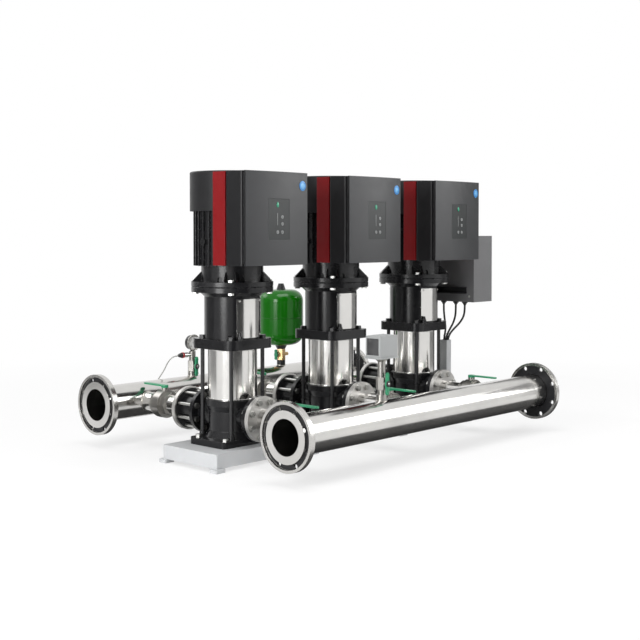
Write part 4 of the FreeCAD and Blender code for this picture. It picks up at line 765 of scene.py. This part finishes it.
def cover_spots():
    """a plain round spot with a paler middle near the upper corner of each cover"""
    spot_profile = disc_profile(radius=0.022, thickness=0.0016)
    pale_profile = disc_profile(radius=0.013, thickness=0.0005)
    for index, middle in enumerate(COLUMNS, 1):
        at_spot = on_cover(middle, SPOT_ACROSS, SPOT_HEIGHT)
        spot = turned_mesh("cover_spot", spot_profile, at_spot, sides=48)
        add_piece("cover_spot_%d" % index, spot, SPOT_BLUE)
        on_spot = on_cover(middle, SPOT_ACROSS, SPOT_HEIGHT, SPOT_FACE)
        pale = turned_mesh("spot_middle", pale_profile, on_spot, sides=40)
        add_piece("spot_middle_%d" % index, pale, SPOT_PALE)


# Pumps

def guard_screws():
    """a small screw at each corner of each coupling guard; the guards face along Y"""
    low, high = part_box("coupling_guards")
    from_guard_middle = 28
    from_foot = 0.012
    from_top = 0.008
    sink = 0.0002
    screw = disc_profile(radius=0.0048, thickness=0.0026)
    for index, middle in enumerate(COLUMNS, 1):
        places = []
        for facing in (90, 270):
            for side in (-from_guard_middle, from_guard_middle):
                turn = Matrix.Rotation(math.radians(facing + side), 4, "Z")
                for level in (low.z + from_foot, high.z - from_top):
                    places.append(moved(middle, 0, level) @ turn @ moved(high.y - sink, 0, 0) @ ALONG_X)
        screws = gathered("guard_screws", screw, places, sides=20)
        add_piece("guard_screws_%d" % index, screws, SCREW)


def sleeve_seams():
    """the rolled edges of the pump sleeves"""
    low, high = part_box("pump_sleeves")
    roll = 0.005
    inset = 0.004
    profile = ring_profile(outer=high.y + 0.0012, inner=high.y - 0.0004, thickness=roll)
    for index, middle in enumerate(COLUMNS, 1):
        for number, level in enumerate((low.z + inset, high.z - inset)):
            edge = turned_mesh("sleeve_edge", profile, moved(middle, 0, level - roll / 2), sides=96)
            add_piece("sleeve_edge_%d_%d" % (index, number), edge, STEEL_ROUND)


# Manifolds

def branch_weld(x, axis_y, inward, angle):
    """a point of the line in which a branch meets its manifold"""
    up = STUB_RADIUS * math.sin(angle)
    return (x + STUB_RADIUS * math.cos(angle), axis_y + inward * math.sqrt(PIPE_RADIUS ** 2 - up ** 2),
            PORT_HEIGHT + up)


def socket_weld(x, axis_y, angle):
    """a point of the line in which a socket meets the top of its manifold"""
    across = SOCKET_RADIUS * math.sin(angle)
    return (x + SOCKET_RADIUS * math.cos(angle), axis_y + across,
            PORT_HEIGHT + math.sqrt(PIPE_RADIUS ** 2 - across ** 2))


def collar_weld(x, axis_y, angle):
    """a point of the line round the end of a manifold's pipe"""
    return (x, axis_y + PIPE_RADIUS * math.cos(angle), PORT_HEIGHT + PIPE_RADIUS * math.sin(angle))


def weld_beads():
    """the beads round the branches, the sockets and the collars"""
    collar = 0.012
    branch_bead = 0.0026
    socket_bead = 0.0022
    collar_bead = 0.0024
    for side, axis_y, inward, sockets in (("suction", SUCTION_Y, 1, (RISER_X,)),
                                          ("discharge", DISCHARGE_Y, -1, (RISER_X, TANK_X))):
        for index, middle in enumerate(COLUMNS, 1):
            points = [branch_weld(middle, axis_y, inward, angle) for angle in angles(72)]
            add_bead("%s_branch_weld_%d" % (side, index), points, branch_bead, WELD)
        for number, x in enumerate(sockets):
            points = [socket_weld(x, axis_y, angle) for angle in angles(48)]
            add_bead("%s_socket_weld_%d" % (side, number), points, socket_bead, WELD)
        low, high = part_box(side + "_manifold")
        for number, x in enumerate((low.x + collar, high.x - collar)):
            points = [collar_weld(x, axis_y, angle) for angle in angles(96)]
            add_bead("%s_collar_weld_%d" % (side, number), points, collar_bead, WELD)


# What stands on the manifolds
GRIP_OVERHANG = 0.002
GAUGE_LOW, GAUGE_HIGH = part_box("pressure_gauge")
GAUGE_RADIUS = (GAUGE_HIGH.x - GAUGE_LOW.x) / 2
GAUGE_X = (GAUGE_LOW.x + GAUGE_HIGH.x) / 2
GAUGE_Z = GAUGE_HIGH.z - GAUGE_RADIUS
GAUGE_FRONT = GAUGE_LOW.y


def cock_handles():
    """a waved grip, a hub and a nut on each cock's handle, from the back to the front"""
    grip_back = 0.0123
    hub_back = 0.0035
    hub_profile = disc_profile(radius=0.0135, thickness=0.0042)
    nut_profile = disc_profile(radius=0.0058, thickness=0.0034)
    for side in ("suction", "discharge"):
        body = side + "_cock_handle"
        low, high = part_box(body)
        middle = (low.z + high.z) / 2
        half_length = (high.z - low.z) / 2 + GRIP_OVERHANG
        grip_place = moved(RISER_X, low.y + grip_back, middle) @ AGAINST_Y
        grip = lobed_bar(half_length, half_width=0.0105, thickness=0.0095, place=grip_place)
        add_piece(side + "_handle_grip", grip, LEVER_GREEN, body)
        hub_place = moved(RISER_X, low.y + hub_back, middle) @ AGAINST_Y
        hub = turned_mesh("hub", hub_profile, hub_place, sides=32)
        add_piece(side + "_handle_hub", hub, MOULDED_BLACK, body)
        nut = turned_mesh("nut", nut_profile, moved(RISER_X, low.y, middle) @ AGAINST_Y, sides=6)
        add_piece(side + "_handle_nut", nut, ZINC, body)


def tank_valve_grip():
    """a waved grip on the lever of the tank's valve"""
    low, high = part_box("tank_valve_lever")
    middle = (low + high) / 2
    proud = 0.0008
    half_length = (high.z - low.z) / 2 + GRIP_OVERHANG
    upright = ALONG_X @ Matrix.Rotation(math.radians(90), 4, "Z")
    grip_place = moved(low.x - proud, middle.y, middle.z) @ upright
    grip = lobed_bar(half_length, half_width=0.0095, thickness=0.0088, place=grip_place)
    add_piece("tank_valve_grip", grip, LEVER_GREEN, "tank_valve_lever")


def on_scale(share):
    """the angle at this share of the gauge's scale, which goes from the lower left over the top"""
    return math.radians(225 - 270 * share)


def in_gauge(depth):
    """a place on the gauge's axis, this far behind its front"""
    return moved(GAUGE_X, GAUGE_FRONT + depth, GAUGE_Z)


def gauge_face():
    """the rim and the dial"""
    rim_profile = ring_profile(outer=GAUGE_RADIUS + 0.0012, inner=GAUGE_RADIUS - 0.005, thickness=0.007)
    rim = turned_mesh("gauge_rim", rim_profile, in_gauge(depth=0.0062) @ AGAINST_Y, sides=72)
    add_piece("gauge_rim", rim, NICKEL_AND_SHADE)
    dial_profile = disc_profile(radius=GAUGE_RADIUS - 0.0044, thickness=0.0005)
    dial = turned_mesh("gauge_dial", dial_profile, in_gauge(depth=0.005) @ AGAINST_Y, sides=64)
    add_piece("gauge_dial", dial, DIAL_WHITE)


def gauge_marks():
    """twenty steps, with a longer mark at every fifth"""
    steps = 20
    short = Matrix.Diagonal((0.003, 0.0003, 0.0005, 1))
    long = Matrix.Diagonal((0.005, 0.0003, 0.0009, 1))
    work = bmesh.new()
    for step in range(steps + 1):
        is_long = step % 5 == 0
        turn = Matrix.Rotation(-on_scale(step / steps), 4, "Y")
        outward = moved(GAUGE_RADIUS - (0.0085 if is_long else 0.0075), 0, 0)
        place = in_gauge(depth=0.0043) @ turn @ outward @ (long if is_long else short)
        mark = bmesh.ops.create_cube(work, size=1.0)
        bmesh.ops.transform(work, verts=mark["verts"], matrix=place)
    marks = from_bmesh("gauge_marks", work, smooth=False)
    add_piece("gauge_marks", marks, MOULDED_BLACK)


def gauge_numbers():
    """plain numbers inside the longer marks"""
    depth = 0.0042
    reach = GAUGE_RADIUS - 0.0165
    numbers = ("0", "4", "8", "12", "16")
    for step, words in enumerate(numbers):
        angle = on_scale(step / (len(numbers) - 1))
        data = bpy.data.curves.new("gauge_number_%d" % step, "FONT")
        data.body = words
        data.size = 0.008
        data.extrude = 0.00015
        data.align_x = "CENTER"
        data.align_y = "CENTER"
        data.materials.append(MOULDED_BLACK)
        made = bpy.data.objects.new("gauge_number_%d" % step, data)
        made.location = (GAUGE_X + reach * math.cos(angle), GAUGE_FRONT + depth,
                         GAUGE_Z + reach * math.sin(angle))
        made.rotation_euler = (math.radians(90), 0, 0)
        scene.collection.objects.link(made)
        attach(made, STATIC)


def sender_rings():
    """the red ring and the plug on the pressure sender, which points along -X"""
    low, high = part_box("pressure_sender")
    middle = (low + high) / 2
    sides = 40
    ring_start = moved(RISER_X - 0.059, middle.y, middle.z) @ AGAINST_X
    plug_start = moved(RISER_X - 0.0695, middle.y, middle.z) @ AGAINST_X
    ring_shape = ring_profile(outer=0.0146, inner=0.0128, thickness=0.009)
    plug_shape = [(0.0132, 0.0), (0.0132, 0.004), (0.0106, 0.006), (0.0104, 0.014), (0.0082, 0.017),
                  (0.0048, 0.0255)]
    add_piece("sender_ring", turned_mesh("sender_ring", ring_shape, ring_start, sides), MOULDED_RED)
    add_piece("sender_plug", turned_mesh("sender_plug", plug_shape, plug_start, sides), MOULDED_BLACK)


def switch_pieces():
    """the pane, the foot screws and the lid's screws of the pressure switch"""
    low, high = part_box("pressure_switch")
    middle = (low.y + high.y) / 2
    half_pane = 0.0325
    pane_low = (low.x + 0.0072, middle - half_pane, low.z + 0.0158)
    pane_high = (low.x + 0.0082, middle + half_pane, high.z - 0.0108)
    foot_inset = 0.0035
    foot_height = 0.005
    lid_inset = 0.016
    add_piece("switch_pane", soft_box("switch_pane", pane_low, pane_high, bevel=0.0004), PANE_DARK)
    at_foot = [moved(x, y, low.z + foot_height) for x in (low.x + foot_inset, high.x - foot_inset)
               for y in (low.y + foot_inset, high.y - foot_inset)]
    foot_screw = disc_profile(radius=0.0026, thickness=0.0018)
    foot_screws = gathered("switch_screws", foot_screw, at_foot, sides=16)
    add_piece("switch_screws", foot_screws, SCREW)
    on_lid = [moved(x, y, high.z) for x in (low.x + lid_inset, high.x - lid_inset)
              for y in (low.y + lid_inset, high.y - lid_inset)]
    lid_screw = disc_profile(radius=0.0036, thickness=0.0014)
    lid_screws = gathered("switch_lid_screws", lid_screw, on_lid, sides=16)
    add_piece("switch_lid_screws", lid_screws, SCREW)


def tank_seam():
    """the seam round the middle of the tank"""
    low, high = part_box("diaphragm_tank")
    middle = (low + high) / 2
    radius = (high.x - low.x) / 2
    width = 0.005
    place = moved(middle.x, middle.y, middle.z - width / 2)
    profile = ring_profile(outer=radius + 0.0009, inner=radius - 0.001, thickness=width)
    seam = turned_mesh("tank_seam", profile, place, sides=96)
    add_piece("tank_seam", seam, TANK_GREEN)


# Cabinet
TIE_MIDDLE = (0.8935, -0.038, 0.4535)
TIE_HALF_SIZE = (0.0125, 0.0205, 0.008)
TIE_RADIUS = 0.0012


def cabinet_screws():
    """four screws on the side of the cabinet that faces the pumps"""
    low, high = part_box("cabinet_body")
    inset = 0.03
    back_inset = 0.045
    places = [moved(low.x, y, z) @ AGAINST_X for y in (low.y + inset, high.y - back_inset)
              for z in (low.z + inset, high.z - inset)]
    screws = gathered("cabinet_screws", disc_profile(radius=0.007, thickness=0.002), places, sides=20)
    add_piece("cabinet_screws", screws, SCREW)


def cable_tie():
    """a strap round the three cabinet cables, where they come together above the duct"""
    x, y, z = TIE_MIDDLE
    half_x, half_y, half_z = TIE_HALF_SIZE
    strap = []
    for angle in angles(40):
        across = math.copysign(abs(math.sin(angle)) ** 0.7, math.sin(angle))
        strap.append((x + half_x * math.cos(angle), y + half_y * across, z + half_z * math.cos(angle)))
    add_bead("cable_tie", strap, TIE_RADIUS, MOULDED_BLACK)


add_camera()
add_studio()
dress_nodes()
cabinet_cables()
sensor_cable()
converter_panels()
cover_spots()
guard_screws()
sleeve_seams()
weld_beads()
cock_handles()
tank_valve_grip()
gauge_face()
gauge_marks()
gauge_numbers()
sender_rings()
switch_pieces()
tank_seam()
cabinet_screws()
cable_tie()
